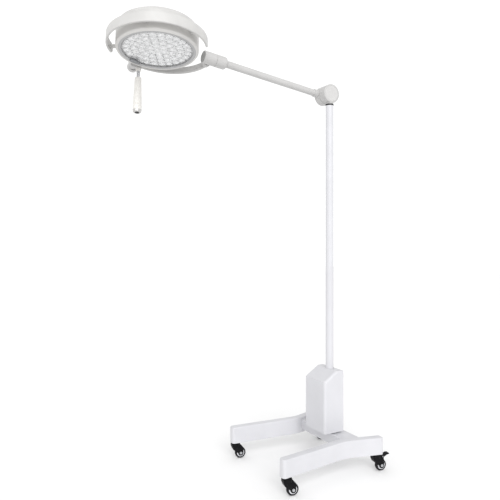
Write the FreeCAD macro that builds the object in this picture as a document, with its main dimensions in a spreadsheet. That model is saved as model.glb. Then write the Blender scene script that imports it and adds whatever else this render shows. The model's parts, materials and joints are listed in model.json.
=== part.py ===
import FreeCAD, Part
import math
import os
import re

import Sketcher
from FreeCAD import Placement, Rotation, Vector

# Mobile examination lamp: a wheeled base with a supply box, a pole, an arm on a friction
# drum joint, and a round LED head hung from a curved yoke.
# Frame: origin on the floor under the pole, +Z up, -Y towards the head, +X to the right.

doc = FreeCAD.newDocument("ExaminationLamp")
sizes = doc.addObject("Spreadsheet::Sheet", "Sizes")

DIMENSIONS = (
    # base, in plan and in height
    ("leg_front_x", 211.0), ("leg_bend_x", 174.0), ("leg_rear_x", 222.0),
    ("leg_front_y", -405.0), ("leg_bend_y", -62.0), ("leg_rear_y", 112.0),
    ("leg_width", 38.0), ("leg_wall", 3.5), ("leg_boss", 52.0), ("plate_thickness", 2.5),
    ("leg_bottom", 76.0), ("leg_top", 149.0), ("leg_end_radius", 12.0),
    ("leg_bend_radius", 160.0), ("leg_edge_radius", 5.0),
    ("bar_front_y", -44.0), ("bar_rear_y", 40.0), ("bar_bottom", 92.0), ("bar_top", 138.0),
    ("bar_spread", 14.0), ("bar_wall", 4.0), ("bar_edge_radius", 4.0),
    # castors
    ("stem_x", 214.0), ("stem_front_y", -380.0), ("stem_rear_y", 87.0),
    ("stem_radius", 5.0), ("stem_flange_radius", 15.0), ("stem_flange", 3.0),
    ("wheel_radius", 25.0), ("wheel_width", 17.0), ("core_radius", 17.0), ("axle_radius", 4.0),
    ("castor_trail", 22.0), ("castor_heading", 78.0), ("fork_top", 71.0), ("fork_width", 27.0),
    ("fork_cheek", 3.0), ("fork_disc_radius", 20.0), ("fork_foot_radius", 12.0),
    ("pedal_x", 26.5), ("pedal_drop", 7.5), ("pedal_pin_radius", 2.0), ("pedal_reach", 60.0),
    ("pedal_rise", 3.5), ("running_clearance", 0.05),
    # supply box
    ("box_width", 150.0), ("box_front_y", -86.0), ("box_rear_y", 20.0), ("box_ridge_y", -20.0),
    ("box_bottom", 144.0), ("box_shoulder", 376.0), ("box_top", 417.0), ("sheet_metal", 1.5),
    ("box_corner_radius", 12.0), ("floor_thickness", 3.0),
    ("flange_width", 110.0), ("flange_front_y", -40.0), ("flange_depth", 56.0),
    ("collar_wall", 6.0), ("collar_height", 34.0), ("collar_rear_y", 14.0), ("slot_gap", 0.5),
    ("supply_width", 96.0), ("supply_depth", 44.0), ("supply_height", 150.0),
    ("supply_gap", 9.0), ("vent_margin", 8.0), ("vent_depth", 2.0), ("vent_height", 5.0),
    ("vent_bottom", 200.0), ("vent_pitch", 12.0), ("vent_count", 7.0),
    ("screw_x", 62.0), ("screw_low_z", 160.0), ("screw_pitch", 121.0), ("screw_radius", 2.0),
    ("inlet_x", 43.0), ("inlet_z", 196.0), ("inlet_width", 30.0), ("inlet_height", 50.0),
    ("inlet_plate", 3.0), ("inlet_body_width", 25.0), ("inlet_body_height", 40.0),
    ("inlet_body_depth", 22.0), ("socket_width", 17.0), ("socket_height", 25.0),
    ("socket_depth", 15.0), ("blade_width", 2.0), ("blade_height", 4.0), ("blade_length", 14.0),
    ("pin_x", -43.0), ("pin_z", 186.0), ("pin_radius", 3.0), ("pin_length", 14.0),
    ("pin_collar_radius", 8.0), ("pin_collar_length", 3.0), ("pin_root_radius", 4.0),
    ("pin_root_length", 8.0),
    # pole and its top bearing
    ("pole_radius", 18.0), ("pole_wall", 2.5), ("pole_end", 1633.0), ("ring_height", 7.0),
    ("ring_radius", 18.8), ("spindle_radius", 14.0), ("bearing_gap", 0.3),
    # friction drum joint and arm
    ("drum_height", 1687.0), ("drum_radius", 43.0), ("drum_front_x", 18.0),
    ("drum_seam_x", -21.0), ("drum_rear_x", -60.0), ("washer_thickness", 1.0),
    ("bolt_radius", 8.0), ("bolt_head_radius", 14.0), ("cap_radius", 36.0),
    ("cap_thickness", 3.0), ("neck_radius", 17.0),
    ("arm_x", -41.0), ("arm_tilt", 7.38), ("tube_radius", 15.0), ("tube_wall", 2.0),
    ("tube_start", 46.0), ("knuckle_radius", 26.0), ("collar_start", 525.0),
    ("knuckle_seam", 575.5), ("knuckle_end", 631.0), ("roll_pin_radius", 12.0),
    # yoke
    ("yoke_centre_y", 25.0), ("yoke_radius", 208.0), ("yoke_thickness", 12.0),
    ("yoke_bottom", -25.0), ("yoke_top", 3.0), ("yoke_start_x", -29.0),
    ("pivot_y", -32.0), ("pivot_z", -30.0), ("pivot_radius", 7.0), ("boss_radius", 22.0),
    ("boss_outer_x", -212.0), ("boss_inner_x", -190.0), ("boss_cap_radius", 15.0),
    ("boss_cap", 2.0), ("boss_recess", 5.0), ("pin_flange_radius", 18.0), ("pin_flange", 2.4),
    # head
    ("head_distance", 830.0), ("head_roll", -7.41), ("head_pitch", 3.2),
    ("head_radius", 162.0), ("face_z", -42.0), ("cover_z", 26.0), ("crown_z", 70.0),
    ("shell_wall", 3.0), ("bezel_inner", 139.0), ("bezel_outer", 151.0),
    ("window_thickness", 3.0), ("lens_radius", 14.0), ("lens_pitch", 30.0),
    ("lens_height", 13.0), ("board_radius", 136.0), ("board_thickness", 1.6),
    ("sink_thickness", 5.0), ("sink_height", 26.0),
    ("pad_angle", 201.0), ("pad_distance", 136.0),
    # hand rail
    ("rail_inner", 190.5), ("rail_outer", 198.5), ("rail_bottom", -29.0), ("rail_top", 12.0),
    ("rail_start", -133.0), ("rail_sweep", 193.0), ("post_radius", 8.0), ("post_z", -8.0),
    # handle
    ("handle_x", -167.0), ("handle_y", -20.0), ("handle_cap_radius", 11.0),
    ("handle_cap", 12.0), ("shaft_radius", 7.5), ("shaft_length", 27.0),
    ("grip_top_radius", 12.5), ("grip_end_radius", 18.5), ("grip_length", 142.0),
    ("end_cap", 11.0), ("button_radius", 9.0), ("button_travel", 2.0),
)
ALIASES = {alias for alias, number in DIMENSIONS}

for row, (alias, number) in enumerate(DIMENSIONS, start=1):
    sizes.set(f"A{row}", alias)
    sizes.set(f"B{row}", str(number))
    sizes.setAlias(f"B{row}", alias)
doc.recompute()

X_AXIS = Rotation(Vector(0, 1, 0), 90)
Y_AXIS = Rotation(Vector(1, 0, 0), -90)
Z_AXIS = Rotation()
sub_parts = []


def sheet(text):
    """Write a size expression with the sheet's name before each alias."""
    return re.sub(r"[a-z_]+", lambda word: "Sizes." + word[0] if word[0] in ALIASES else word[0], str(text))


def value(text):
    """Work out a size expression now."""
    return float(sizes.evalExpression(sheet(text)))


def bind(item, **properties):
    """Tie properties of a document object to size expressions."""
    for name, text in properties.items():
        item.setExpression(name, sheet(text))


def place(item, at, turn=Z_AXIS):
    """Turn a primitive and tie its position to three size expressions."""
    item.Placement = Placement(Vector(), turn)
    for axis, text in zip("xyz", at):
        item.setExpression("Placement.Base." + axis, sheet(text))


def block(name, low, size):
    """A box from its lowest corner and its three lengths."""
    item = doc.addObject("Part::Box", name)
    bind(item, Length=size[0], Width=size[1], Height=size[2])
    place(item, low)
    return item


def rod(name, radius, length, at, turn=Z_AXIS):
    """A round bar that starts at a point and runs along the turned Z axis."""
    item = doc.addObject("Part::Cylinder", name)
    bind(item, Radius=radius, Height=length)
    place(item, at, turn)
    return item


def taper(name, start_radius, end_radius, length, at, turn=Z_AXIS):
    """A cone frustum that starts at a point and runs along the turned Z axis."""
    item = doc.addObject("Part::Cone", name)
    bind(item, Radius1=start_radius, Radius2=end_radius, Height=length)
    place(item, at, turn)
    return item


def join(name, *items):
    item = doc.addObject("Part::MultiFuse", name)
    item.Shapes = list(items)
    item.Refine = True
    return item


def cut(name, base, *tools):
    item = doc.addObject("Part::Cut", name)
    item.Base = base
    item.Tool = tools[0] if len(tools) == 1 else join(name + "_tools", *tools)
    item.Refine = True
    return item


def overlap(name, first, second):
    item = doc.addObject("Part::Common", name)
    item.Base = first
    item.Tool = second
    item.Refine = True
    return item


def rounded(name, base, radius, pick):
    """Fillet the edges of a Part object that pick() accepts."""
    doc.recompute()
    item = doc.addObject("Part::Fillet", name)
    item.Base = base
    amount = value(radius)
    item.Edges = [(i, amount, amount) for i, edge in enumerate(base.Shape.Edges, 1) if pick(edge)]
    return item


def sketch_on(body, role, outline):
    """A closed outline of straight lines on an origin plane, each corner tied to the sheet."""
    sketch = body.newObject("Sketcher::SketchObject", body.Name + "_outline")
    plane = [item for item in body.Origin.OriginFeatures if item.Role == role][0]
    sketch.AttachmentSupport = [(plane, "")]
    sketch.MapMode = "FlatFace"
    corners = [Vector(value(across), value(up), 0) for across, up in outline]
    count = len(corners)
    for index in range(count):
        sketch.addGeometry(Part.LineSegment(corners[index], corners[(index + 1) % count]))
    for index in range(count):
        sketch.addConstraint(Sketcher.Constraint("Coincident", index, 2, (index + 1) % count, 1))
    for index, texts in enumerate(outline):
        for kind, text in zip(("DistanceX", "DistanceY"), texts):
            number = sketch.addConstraint(Sketcher.Constraint(kind, -1, 1, index, 1, value(text)))
            sketch.renameConstraint(number, f"{kind}{index}")
            sketch.setExpression(f"Constraints.{kind}{index}", sheet(text))
    return sketch


def revolved(name, outline, sweep="360"):
    """A body turned about Z from an outline of (radius, height) corners."""
    body = doc.addObject("PartDesign::Body", name)
    sketch = sketch_on(body, "XZ_Plane", outline)
    doc.recompute()
    turned = body.newObject("PartDesign::Revolution", name + "_turned")
    turned.Profile = sketch
    turned.ReferenceAxis = (sketch, ["V_Axis"])
    bind(turned, Angle=sweep)
    doc.recompute()
    return body


def extruded(name, role, outline, length, midplane=False, start="0"):
    """A body padded from an outline on one of its origin planes."""
    body = doc.addObject("PartDesign::Body", name)
    sketch = sketch_on(body, role, outline)
    sketch.setExpression("AttachmentOffset.Base.z", sheet(start))
    doc.recompute()
    pad = body.newObject("PartDesign::Pad", name + "_pad")
    pad.Profile = sketch
    pad.Midplane = midplane
    bind(pad, Length=length)
    doc.recompute()
    return body


def soften(body, radius, pick):
    """Fillet the edges of a body's last feature that pick() accepts."""
    doc.recompute()
    last = body.Tip
    edges = [f"Edge{i}" for i, edge in enumerate(last.Shape.Edges, 1) if pick(edge)]
    fillet = body.newObject("PartDesign::Fillet", body.Name + "_soft")
    fillet.Base = (last, edges)
    bind(fillet, Radius=radius)
    doc.recompute()


def upright(edge):
    """True for a straight edge along Z."""
    ends = edge.Vertexes
    if len(ends) < 2 or not isinstance(edge.Curve, Part.Line):
        return False
    reach = ends[1].Point - ends[0].Point
    return abs(reach.x) < 1e-6 and abs(reach.y) < 1e-6


def level_at(height):
    """Make a test for edges that lie wholly at one height."""
    def test(edge):
        box = edge.BoundBox
        return abs(box.ZMin - height) < 1e-6 and abs(box.ZMax - height) < 1e-6
    return test


def feature(name, shape):
    """A document object that holds a shape made directly."""
    item = doc.addObject("Part::Feature", name)
    item.Shape = shape
    return item


def sub_part(item, label, frame=None):
    """Name a finished piece and put it in its frame."""
    if frame is not None:
        tied = [path for path, text in item.ExpressionEngine if "Placement" in path]
        if tied:
            holder = doc.addObject("Part::Compound", label + "_group")
            holder.Links = [item]
            item = holder
        item.Placement = frame.multiply(item.Placement)
    item.Label = label
    sub_parts.append(item)
    return item


# Frames of the moving assemblies, at the rest pose.
ARM = Placement(
    Vector(value("arm_x"), 0, value("drum_height")), Rotation(Vector(1, 0, 0), -value("arm_tilt"))
)
YOKE = ARM.multiply(
    Placement(Vector(0, -value("head_distance"), 0), Rotation(Vector(0, 1, 0), value("head_roll")))
)
HEAD = YOKE.multiply(Placement(Vector(), Rotation(Vector(1, 0, 0), value("head_pitch"))))


# ---------------------------------------------------------------- legs and crossbar

def leg_outline(side, inset, front, rear):
    """Plan of a leg: six corners, narrowed by inset, between two distances along Y."""
    reach = "(leg_width / 2 - {})".format(inset)
    front_share = "(({}) - leg_bend_y) / (leg_front_y - leg_bend_y)".format(front)
    rear_share = "(({}) - leg_bend_y) / (leg_rear_y - leg_bend_y)".format(rear)
    front_x = "(leg_bend_x + (leg_front_x - leg_bend_x) * {})".format(front_share)
    rear_x = "(leg_bend_x + (leg_rear_x - leg_bend_x) * {})".format(rear_share)
    corners = (
        (front_x, "-", front), ("leg_bend_x", "-", "leg_bend_y"), (rear_x, "-", rear),
        (rear_x, "+", rear), ("leg_bend_x", "+", "leg_bend_y"), (front_x, "+", front),
    )
    return [("{} * ({} {} {})".format(side, middle, sign, reach), along) for middle, sign, along in corners]


def near_bend(edge):
    """True for the upright edges at a leg's bend."""
    return upright(edge) and abs(edge.Vertexes[0].Point.y - value("leg_bend_y")) < 1


def at_leg_end(edge):
    """True for the upright edges at a leg's two ends."""
    return upright(edge) and not near_bend(edge) and edge.Length > 10 and (
        edge.Vertexes[0].Point.y < value("leg_front_y") + 1
        or edge.Vertexes[0].Point.y > value("leg_rear_y") - 1
    )


STEMS = tuple(
    (side_name + "_" + end_name, side, end_y)
    for end_name, end_y in (("front", "stem_front_y"), ("rear", "stem_rear_y"))
    for side_name, side in (("left", -1), ("right", 1))
)
STEM_REACH = "30"


def stem_bore(name, side, end_y, radius, start, length):
    """A round bore on a castor's swivel axis."""
    return rod(name, radius, length, ("{} * stem_x".format(side), end_y, start))


plates = []
for side_name, side in (("left", -1), ("right", 1)):
    name = "leg_" + side_name
    outline = leg_outline(side, "0", "leg_front_y", "leg_rear_y")
    blank = extruded(name + "_blank", "XY_Plane", outline, "leg_top - leg_bottom", start="leg_bottom")
    soften(blank, "leg_bend_radius", near_bend)
    soften(blank, "leg_end_radius", at_leg_end)
    soften(blank, "leg_edge_radius", level_at(value("leg_top")))
    core_outline = leg_outline(
        side, "leg_wall", "leg_front_y + leg_boss", "leg_rear_y - leg_boss"
    )
    core_height = "leg_top - leg_bottom - leg_wall"
    core = extruded(name + "_core", "XY_Plane", core_outline, core_height, start="leg_bottom")
    bores = [
        stem_bore(name + "_bore_" + where, side, end_y, "stem_radius", "leg_bottom", STEM_REACH)
        for where, end_y in (("front", "stem_front_y"), ("rear", "stem_rear_y"))
    ]
    sub_part(cut(name + "_cored", blank, core, *bores), name)
    plates.append(
        extruded(name + "_plate", "XY_Plane", core_outline, "plate_thickness", start="leg_bottom")
    )
sub_part(join("plate_pair", *plates), "leg_plates")

bar_outline = [
    ("-leg_bend_x", "bar_front_y"), ("leg_bend_x", "bar_front_y"),
    ("leg_bend_x + bar_spread", "bar_rear_y"), ("-leg_bend_x - bar_spread", "bar_rear_y"),
]
bar = extruded("bar_blank", "XY_Plane", bar_outline, "bar_top - bar_bottom", start="bar_bottom")
soften(
    bar, "bar_edge_radius",
    lambda edge: level_at(value("bar_top"))(edge) and edge.BoundBox.YLength < 1e-6,
)
bar_hollow = block(
    "bar_hollow", ("-leg_bend_x", "bar_front_y + bar_wall", "bar_bottom + bar_wall"),
    ("2 * leg_bend_x", "bar_rear_y - bar_front_y - 2 * bar_wall", "bar_top - bar_bottom - 2 * bar_wall"),
)
bar_ends = [
    extruded("bar_end_" + name, "XY_Plane", leg_outline(side, "0", "leg_front_y", "leg_rear_y"),
             "leg_top - leg_bottom", start="leg_bottom")
    for name, side in (("left", -1), ("right", 1))
]
for end in bar_ends:
    soften(end, "leg_bend_radius", near_bend)
crossbar = sub_part(cut("crossbar", bar, bar_hollow, *bar_ends), "crossbar")


# ---------------------------------------------------------------- pole and supply box

flange_plate = block(
    "flange_plate", ("-flange_width / 2", "flange_front_y", "bar_top"),
    ("flange_width", "flange_depth", "box_bottom - bar_top"),
)
flange_collar = rod("flange_collar", "pole_radius + collar_wall", "collar_height", ("0", "0", "box_bottom"))
flange_bore = rod("flange_bore", "pole_radius", "collar_height", ("0", "0", "box_bottom"))
collar_flat = block(
    "collar_flat", ("-flange_width / 2", "collar_rear_y", "box_bottom"),
    ("flange_width", "flange_depth", "collar_height"),
)
collar_open = cut("collar_open", flange_collar, collar_flat)

pole_tube = rod("pole_tube", "pole_radius", "pole_end - box_bottom", ("0", "0", "box_bottom"))
pole_bore = rod(
    "pole_bore", "pole_radius - pole_wall", "pole_end - box_bottom", ("0", "0", "box_bottom")
)
sub_part(cut("pole", pole_tube, pole_bore), "pole")

floor_top = "box_bottom + floor_thickness"
floor_sheet = block(
    "floor_sheet",
    ("-box_width / 2 + sheet_metal", "box_front_y + sheet_metal", "box_bottom"),
    ("box_width - 2 * sheet_metal", "box_rear_y - box_front_y - 2 * sheet_metal", "floor_thickness"),
)
floor_corners = rounded("floor_corners", floor_sheet, "box_corner_radius - sheet_metal",
                        lambda edge: upright(edge) and edge.Vertexes[0].Point.y < value("box_front_y") / 2)
flange_body = join("flange_body", flange_plate, collar_open, floor_corners)
sub_part(cut("flange_bored", flange_body, flange_bore), "pole_flange")


def box_profile(inset):
    """Side view of the supply box: upright front, sloping brow, short flat top."""
    slope = "(box_top - box_shoulder) / (box_ridge_y - box_front_y)"
    return [
        ("box_front_y + {}".format(inset), "box_bottom"),
        ("box_rear_y - sheet_metal", "box_bottom"),
        ("box_rear_y - sheet_metal", "box_top - {}".format(inset)),
        ("box_ridge_y", "box_top - {}".format(inset)),
        ("box_front_y + {}".format(inset), "box_shoulder - {0} + {0} * {1}".format(inset, slope)),
    ]


def front_corner(edge):
    """True for the long edges that run up the front and over the brow."""
    box = edge.BoundBox
    return box.XLength < 1e-6 and box.YMax < value("box_ridge_y") + 1 and box.ZLength > 20


cover_blank = extruded("cover_blank", "YZ_Plane", box_profile("0"), "box_width", midplane=True)
soften(cover_blank, "box_corner_radius", front_corner)
cover_core = extruded(
    "cover_core", "YZ_Plane", box_profile("sheet_metal"), "box_width - 2 * sheet_metal", midplane=True
)
soften(cover_core, "box_corner_radius - sheet_metal", front_corner)
slot_low = "box_top - 2 * sheet_metal"
slot_round = rod("slot_round", "pole_radius + slot_gap", "4 * sheet_metal", ("0", "0", slot_low))
slot_open = block(
    "slot_open", ("-pole_radius - slot_gap", "0", slot_low),
    ("2 * (pole_radius + slot_gap)", "box_rear_y", "4 * sheet_metal"),
)
sub_part(cut("cover_slotted", cover_blank, cover_core, slot_round, slot_open), "box_cover")

back_sheet = block(
    "back_sheet", ("-box_width / 2", "box_rear_y - sheet_metal", "box_bottom"),
    ("box_width", "sheet_metal", "box_top - box_bottom"),
)
INLET_CORNER = ("inlet_x - inlet_body_width / 2", "inlet_z - inlet_body_height / 2")
inlet_hole = block(
    "inlet_hole", (INLET_CORNER[0], "box_rear_y - sheet_metal", INLET_CORNER[1]),
    ("inlet_body_width", "sheet_metal", "inlet_body_height"),
)
pin_hole = rod(
    "pin_hole", "pin_root_radius", "sheet_metal", ("pin_x", "box_rear_y - sheet_metal", "pin_z"), Y_AXIS
)
SCREW_PLACES = tuple(
    (side * value("screw_x"), value("screw_low_z") + row * value("screw_pitch"))
    for side in (-1, 1) for row in range(3)
)
screw_holes = [
    rod("screw_hole_%d" % i, "screw_radius", "sheet_metal", (x, "box_rear_y - sheet_metal", z), Y_AXIS)
    for i, (x, z) in enumerate(SCREW_PLACES)
]
sub_part(cut("back_bored", back_sheet, inlet_hole, pin_hole, *screw_holes), "box_back")


def cover_screw(x, z):
    """A pan head screw in the back sheet, with a crossed slot."""
    rear = value("box_rear_y")
    sheet_depth = value("sheet_metal")
    radius, height = 4.9, 2.4
    slot_length, slot_width, slot_floor = 5.0, 1.0, 1.4
    ball = (radius ** 2 + height ** 2) / (2 * height)
    head = Part.makeSphere(ball, Vector(x, rear + height - ball, z))
    half_space = Part.makeBox(2 * ball, height, 2 * ball, Vector(x - ball, rear, z - ball))
    shank = Part.makeCylinder(
        value("screw_radius"), sheet_depth, Vector(x, rear - sheet_depth, z), Vector(0, 1, 0)
    )
    slots = [
        Part.makeBox(wide, height, tall, Vector(x - wide / 2, rear + slot_floor, z - tall / 2))
        for wide, tall in ((slot_length, slot_width), (slot_width, slot_length))
    ]
    return head.common(half_space).fuse(shank).cut(slots).removeSplitter()


sub_part(
    feature("screws", Part.makeCompound([cover_screw(x, z) for x, z in SCREW_PLACES])), "cover_screws"
)

supply_front = "box_front_y + supply_gap"
supply_body = block(
    "supply_body", ("-supply_width / 2", supply_front, floor_top),
    ("supply_width", "supply_depth", "supply_height"),
)
supply_vents = [
    block("supply_vent_%d" % i,
          ("-supply_width / 2 + vent_margin", supply_front, "vent_bottom + {} * vent_pitch".format(i)),
          ("supply_width - 2 * vent_margin", "vent_depth", "vent_height"))
    for i in range(int(value("vent_count")))
]
sub_part(cut("supply_vented", supply_body, *supply_vents), "power_supply")

inlet_flange = block(
    "inlet_flange", ("inlet_x - inlet_width / 2", "box_rear_y", "inlet_z - inlet_height / 2"),
    ("inlet_width", "inlet_plate", "inlet_height"),
)
inlet_flange_soft = rounded("inlet_flange_soft", inlet_flange, "inlet_plate",
                            lambda edge: edge.BoundBox.YLength > 1)
inlet_body = block(
    "inlet_body", (INLET_CORNER[0], "box_rear_y - inlet_body_depth", INLET_CORNER[1]),
    ("inlet_body_width", "inlet_body_depth", "inlet_body_height"),
)
inlet_socket = block(
    "inlet_socket", ("inlet_x - socket_width / 2", "box_rear_y - socket_depth", "inlet_z - socket_height / 2"),
    ("socket_width", "socket_depth + inlet_plate", "socket_height"),
)
inlet_shell = cut("inlet_shell", join("inlet_solid", inlet_flange_soft, inlet_body), inlet_socket)
BLADE_PLACES = (
    ("inlet_x - 5", "inlet_z - 7"), ("inlet_x - 5", "inlet_z + 4"), ("inlet_x + 3", "inlet_z - 2"),
)
inlet_pins = [
    block("inlet_blade_%d" % i, (across, "box_rear_y - socket_depth - 1", up),
          ("blade_width", "blade_length", "blade_height"))
    for i, (across, up) in enumerate(BLADE_PLACES)
]
sub_part(join("inlet_joined", inlet_shell, *inlet_pins), "mains_inlet")

pin_collar = rod(
    "pin_collar", "pin_collar_radius", "pin_collar_length", ("pin_x", "box_rear_y", "pin_z"), Y_AXIS
)
pin_shank = rod(
    "pin_shank", "pin_radius", "pin_length", ("pin_x", "box_rear_y + pin_collar_length", "pin_z"), Y_AXIS
)
pin_root = rod(
    "pin_root", "pin_root_radius", "pin_root_length", ("pin_x", "box_rear_y - pin_root_length", "pin_z"),
    Y_AXIS
)
sub_part(join("pin_turned", pin_collar, pin_shank, pin_root), "bonding_pin")


# ---------------------------------------------------------------- castors

def castor_frame(side, end_y):
    """A castor's own frame: swivel axis at the origin, wheel trailing along +X."""
    at = Vector(side * value("stem_x"), value(end_y), 0)
    return Placement(at, Rotation(Vector(0, 0, 1), value("castor_heading")))


stems = []
for where, side, end_y in STEMS:
    axis = ("{} * stem_x".format(side), end_y)
    stems += [
        rod("stem_flange_" + where, "stem_flange_radius", "stem_flange",
            axis + ("leg_bottom - stem_flange",)),
        rod("stem_pin_" + where, "stem_radius", "leg_bottom + {} - fork_top + 10".format(STEM_REACH),
            axis + ("fork_top - 10",)),
    ]
sub_part(join("castor_stems", *stems), "castor_stems")


def pedal_pin_shape():
    """Hinge pin through the fork's ears."""
    width = value("fork_width")
    start = Vector(value("pedal_x"), -width / 2, value("fork_top") - value("pedal_drop"))
    return Part.makeCylinder(value("pedal_pin_radius"), width, start, Vector(0, 1, 0))


def fork_shape(braked):
    """Hooded fork: two cheeks round the wheel under a swivel disc, with ears for a brake."""
    width = value("fork_width")
    wheel = Vector(value("castor_trail"), 0, value("wheel_radius"))
    top = value("fork_top")
    disc = value("fork_disc_radius")
    foot_radius = value("fork_foot_radius")
    side_points = [
        Vector(-disc, 0, top - 14), Vector(-disc, 0, top - 4), Vector(disc - 2, 0, top - 4),
        Vector(disc + 12, 0, top - 19), Vector(wheel.x + foot_radius, 0, wheel.z),
        Vector(wheel.x - foot_radius, 0, wheel.z), Vector(-disc + 6, 0, top - 28),
    ]
    side_points = [point + Vector(0, -width / 2, 0) for point in side_points]
    side = Part.Face(Part.makePolygon(side_points + side_points[:1]))
    hood = side.extrude(Vector(0, width, 0))
    hood = hood.makeFillet(4, [edge for edge in hood.Edges if edge.BoundBox.YLength > width - 1
                               and edge.BoundBox.ZMax < top - 15 and edge.BoundBox.ZMin > top - 30])
    foot = Part.makeCylinder(foot_radius, width, wheel - Vector(0, width / 2, 0), Vector(0, 1, 0))
    hood = hood.fuse(foot)
    swivel = Part.makeCylinder(disc, 14, Vector(0, 0, top - 14))
    swivel = swivel.makeFillet(3, [edge for edge in swivel.Edges if edge.BoundBox.ZMin > top - 1])
    slot_width = width - 2 * value("fork_cheek")
    slot = Part.makeCylinder(
        value("wheel_radius") + 3, slot_width, wheel + Vector(0, -slot_width / 2, 0), Vector(0, 1, 0)
    )
    mouth = Part.makeBox(60, slot_width, wheel.z + 2, Vector(wheel.x - 28, -slot_width / 2, -2))
    shape = hood.fuse(swivel)
    if braked:
        for low in (-width / 2, width / 2 - 3):
            ear = Part.makeBox(9, 3, 16, Vector(22, low, top - 20))
            shape = shape.fuse(ear)
    gap = value("running_clearance")
    king = Part.makeCylinder(value("stem_radius") + gap, 30, Vector(0, 0, top - 10))
    axle = Part.makeCylinder(
        value("axle_radius"), width, wheel + Vector(0, -width / 2, 0), Vector(0, 1, 0)
    )
    shape = shape.cut([slot, mouth, king, axle])
    if braked:
        pin = pedal_pin_shape()
        roof = Part.makeBox(40, slot_width, 12, Vector(21, -slot_width / 2, top - 13))
        shape = shape.cut([pin, roof])
    return shape.removeSplitter()


def tyre_shape():
    """Rubber tread with a rounded crown."""
    width = value("wheel_width")
    wheel = Vector(value("castor_trail"), 0, value("wheel_radius"))
    ring = Part.makeCylinder(
        value("wheel_radius"), width, wheel + Vector(0, -width / 2, 0), Vector(0, 1, 0)
    )
    outer = [edge for edge in ring.Edges if isinstance(edge.Curve, Part.Circle)]
    ring = ring.makeFillet(5, outer)
    core = Part.makeCylinder(
        value("core_radius"), width, wheel + Vector(0, -width / 2, 0), Vector(0, 1, 0)
    )
    return ring.cut(core)


def core_shape():
    """Nylon wheel centre with dished faces and a hub bored for the axle."""
    width = value("wheel_width")
    wheel = Vector(value("castor_trail"), 0, value("wheel_radius"))
    along = Vector(0, 1, 0)
    body = Part.makeCylinder(value("core_radius"), width, wheel - along * (width / 2), along)
    tools = []
    for start in (-width / 2, width / 2 - 4):
        dish = Part.makeCylinder(value("core_radius") - 3, 4, wheel + along * start, along)
        hub = Part.makeCylinder(value("axle_radius") + 3, 4, wheel + along * start, along)
        tools.append(dish.cut(hub))
    bore_radius = value("axle_radius") + value("running_clearance")
    tools.append(Part.makeCylinder(bore_radius, width, wheel - along * (width / 2), along))
    return body.cut(tools)


def axle_shape():
    """Riveted axle through both cheeks, with a low head on each side."""
    reach = value("fork_width") / 2
    wheel = Vector(value("castor_trail"), 0, value("wheel_radius"))
    along = Vector(0, 1, 0)
    bar = Part.makeCylinder(value("axle_radius"), 2 * reach, wheel - along * reach, along)
    heads = [
        Part.makeCylinder(value("axle_radius") + 2, 1.6, wheel + along * start, along)
        for start in (-reach - 1.6, reach)
    ]
    return bar.fuse(heads).removeSplitter()


def pedal_shape():
    """Foot lever: a barrel between the fork's ears and a paddle out over the wheel."""
    top = value("fork_top")
    width = value("fork_width") - 2 * value("fork_cheek") - 1
    pivot = Vector(value("pedal_x"), 0, top - value("pedal_drop"))
    reach = value("pedal_reach")
    rise = value("pedal_rise")
    side_points = [
        pivot + Vector(-3, 0, 2.5), pivot + Vector(6.5, 0, 2.5), Vector(reach - 13, 0, top + rise),
        Vector(reach, 0, top + rise), Vector(reach, 0, top + rise - 4.5),
        Vector(reach - 12, 0, top + rise - 6.5), pivot + Vector(10.5, 0, -2.5), pivot + Vector(-3, 0, -2.5),
    ]
    side_points = [point + Vector(0, -width / 2, 0) for point in side_points]
    paddle = Part.Face(Part.makePolygon(side_points + side_points[:1])).extrude(Vector(0, width, 0))
    tip = [edge for edge in paddle.Edges if edge.BoundBox.YLength > width - 1
           and edge.BoundBox.XMin > reach - 1]
    paddle = paddle.makeFillet(1.8, tip)
    bore = Part.makeCylinder(
        value("pedal_pin_radius") + value("running_clearance"), width, pivot - Vector(0, width / 2, 0), Vector(0, 1, 0)
    )
    return paddle.cut(bore)


for where, side, end_y in STEMS:
    frame = castor_frame(side, end_y)
    braked = where.endswith("rear")
    sub_part(feature("fork_" + where, fork_shape(braked)), "castor_fork_" + where, frame)
    pins = [axle_shape()] + ([pedal_pin_shape()] if braked else [])
    sub_part(feature("pins_" + where, Part.makeCompound(pins)), "castor_axle_" + where, frame)
    sub_part(feature("core_" + where, core_shape()), "wheel_core_" + where, frame)
    sub_part(feature("tyre_" + where, tyre_shape()), "wheel_tyre_" + where, frame)
    if braked:
        sub_part(feature("pedal_" + where, pedal_shape()), "brake_pedal_" + where, frame)


# ---------------------------------------------------------------- pole top and drum joint

BUSHING_DEPTH = "36"
sub_part(
    revolved("bushing", [
        ("spindle_radius + running_clearance", "pole_end - {}".format(BUSHING_DEPTH)),
        ("pole_radius - pole_wall", "pole_end - {}".format(BUSHING_DEPTH)),
        ("pole_radius - pole_wall", "pole_end"),
        ("ring_radius", "pole_end"),
        ("ring_radius", "pole_end + ring_height"),
        ("spindle_radius + running_clearance", "pole_end + ring_height"),
    ]), "pole_bushing"
)

neck_start = "pole_end + ring_height + bearing_gap"
spindle_start = "pole_end - {} - 6".format(BUSHING_DEPTH)
sub_part(
    rod("spindle", "spindle_radius", "drum_height - 22 - ({})".format(spindle_start),
        ("0", "0", spindle_start)),
    "swivel_spindle"
)

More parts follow.
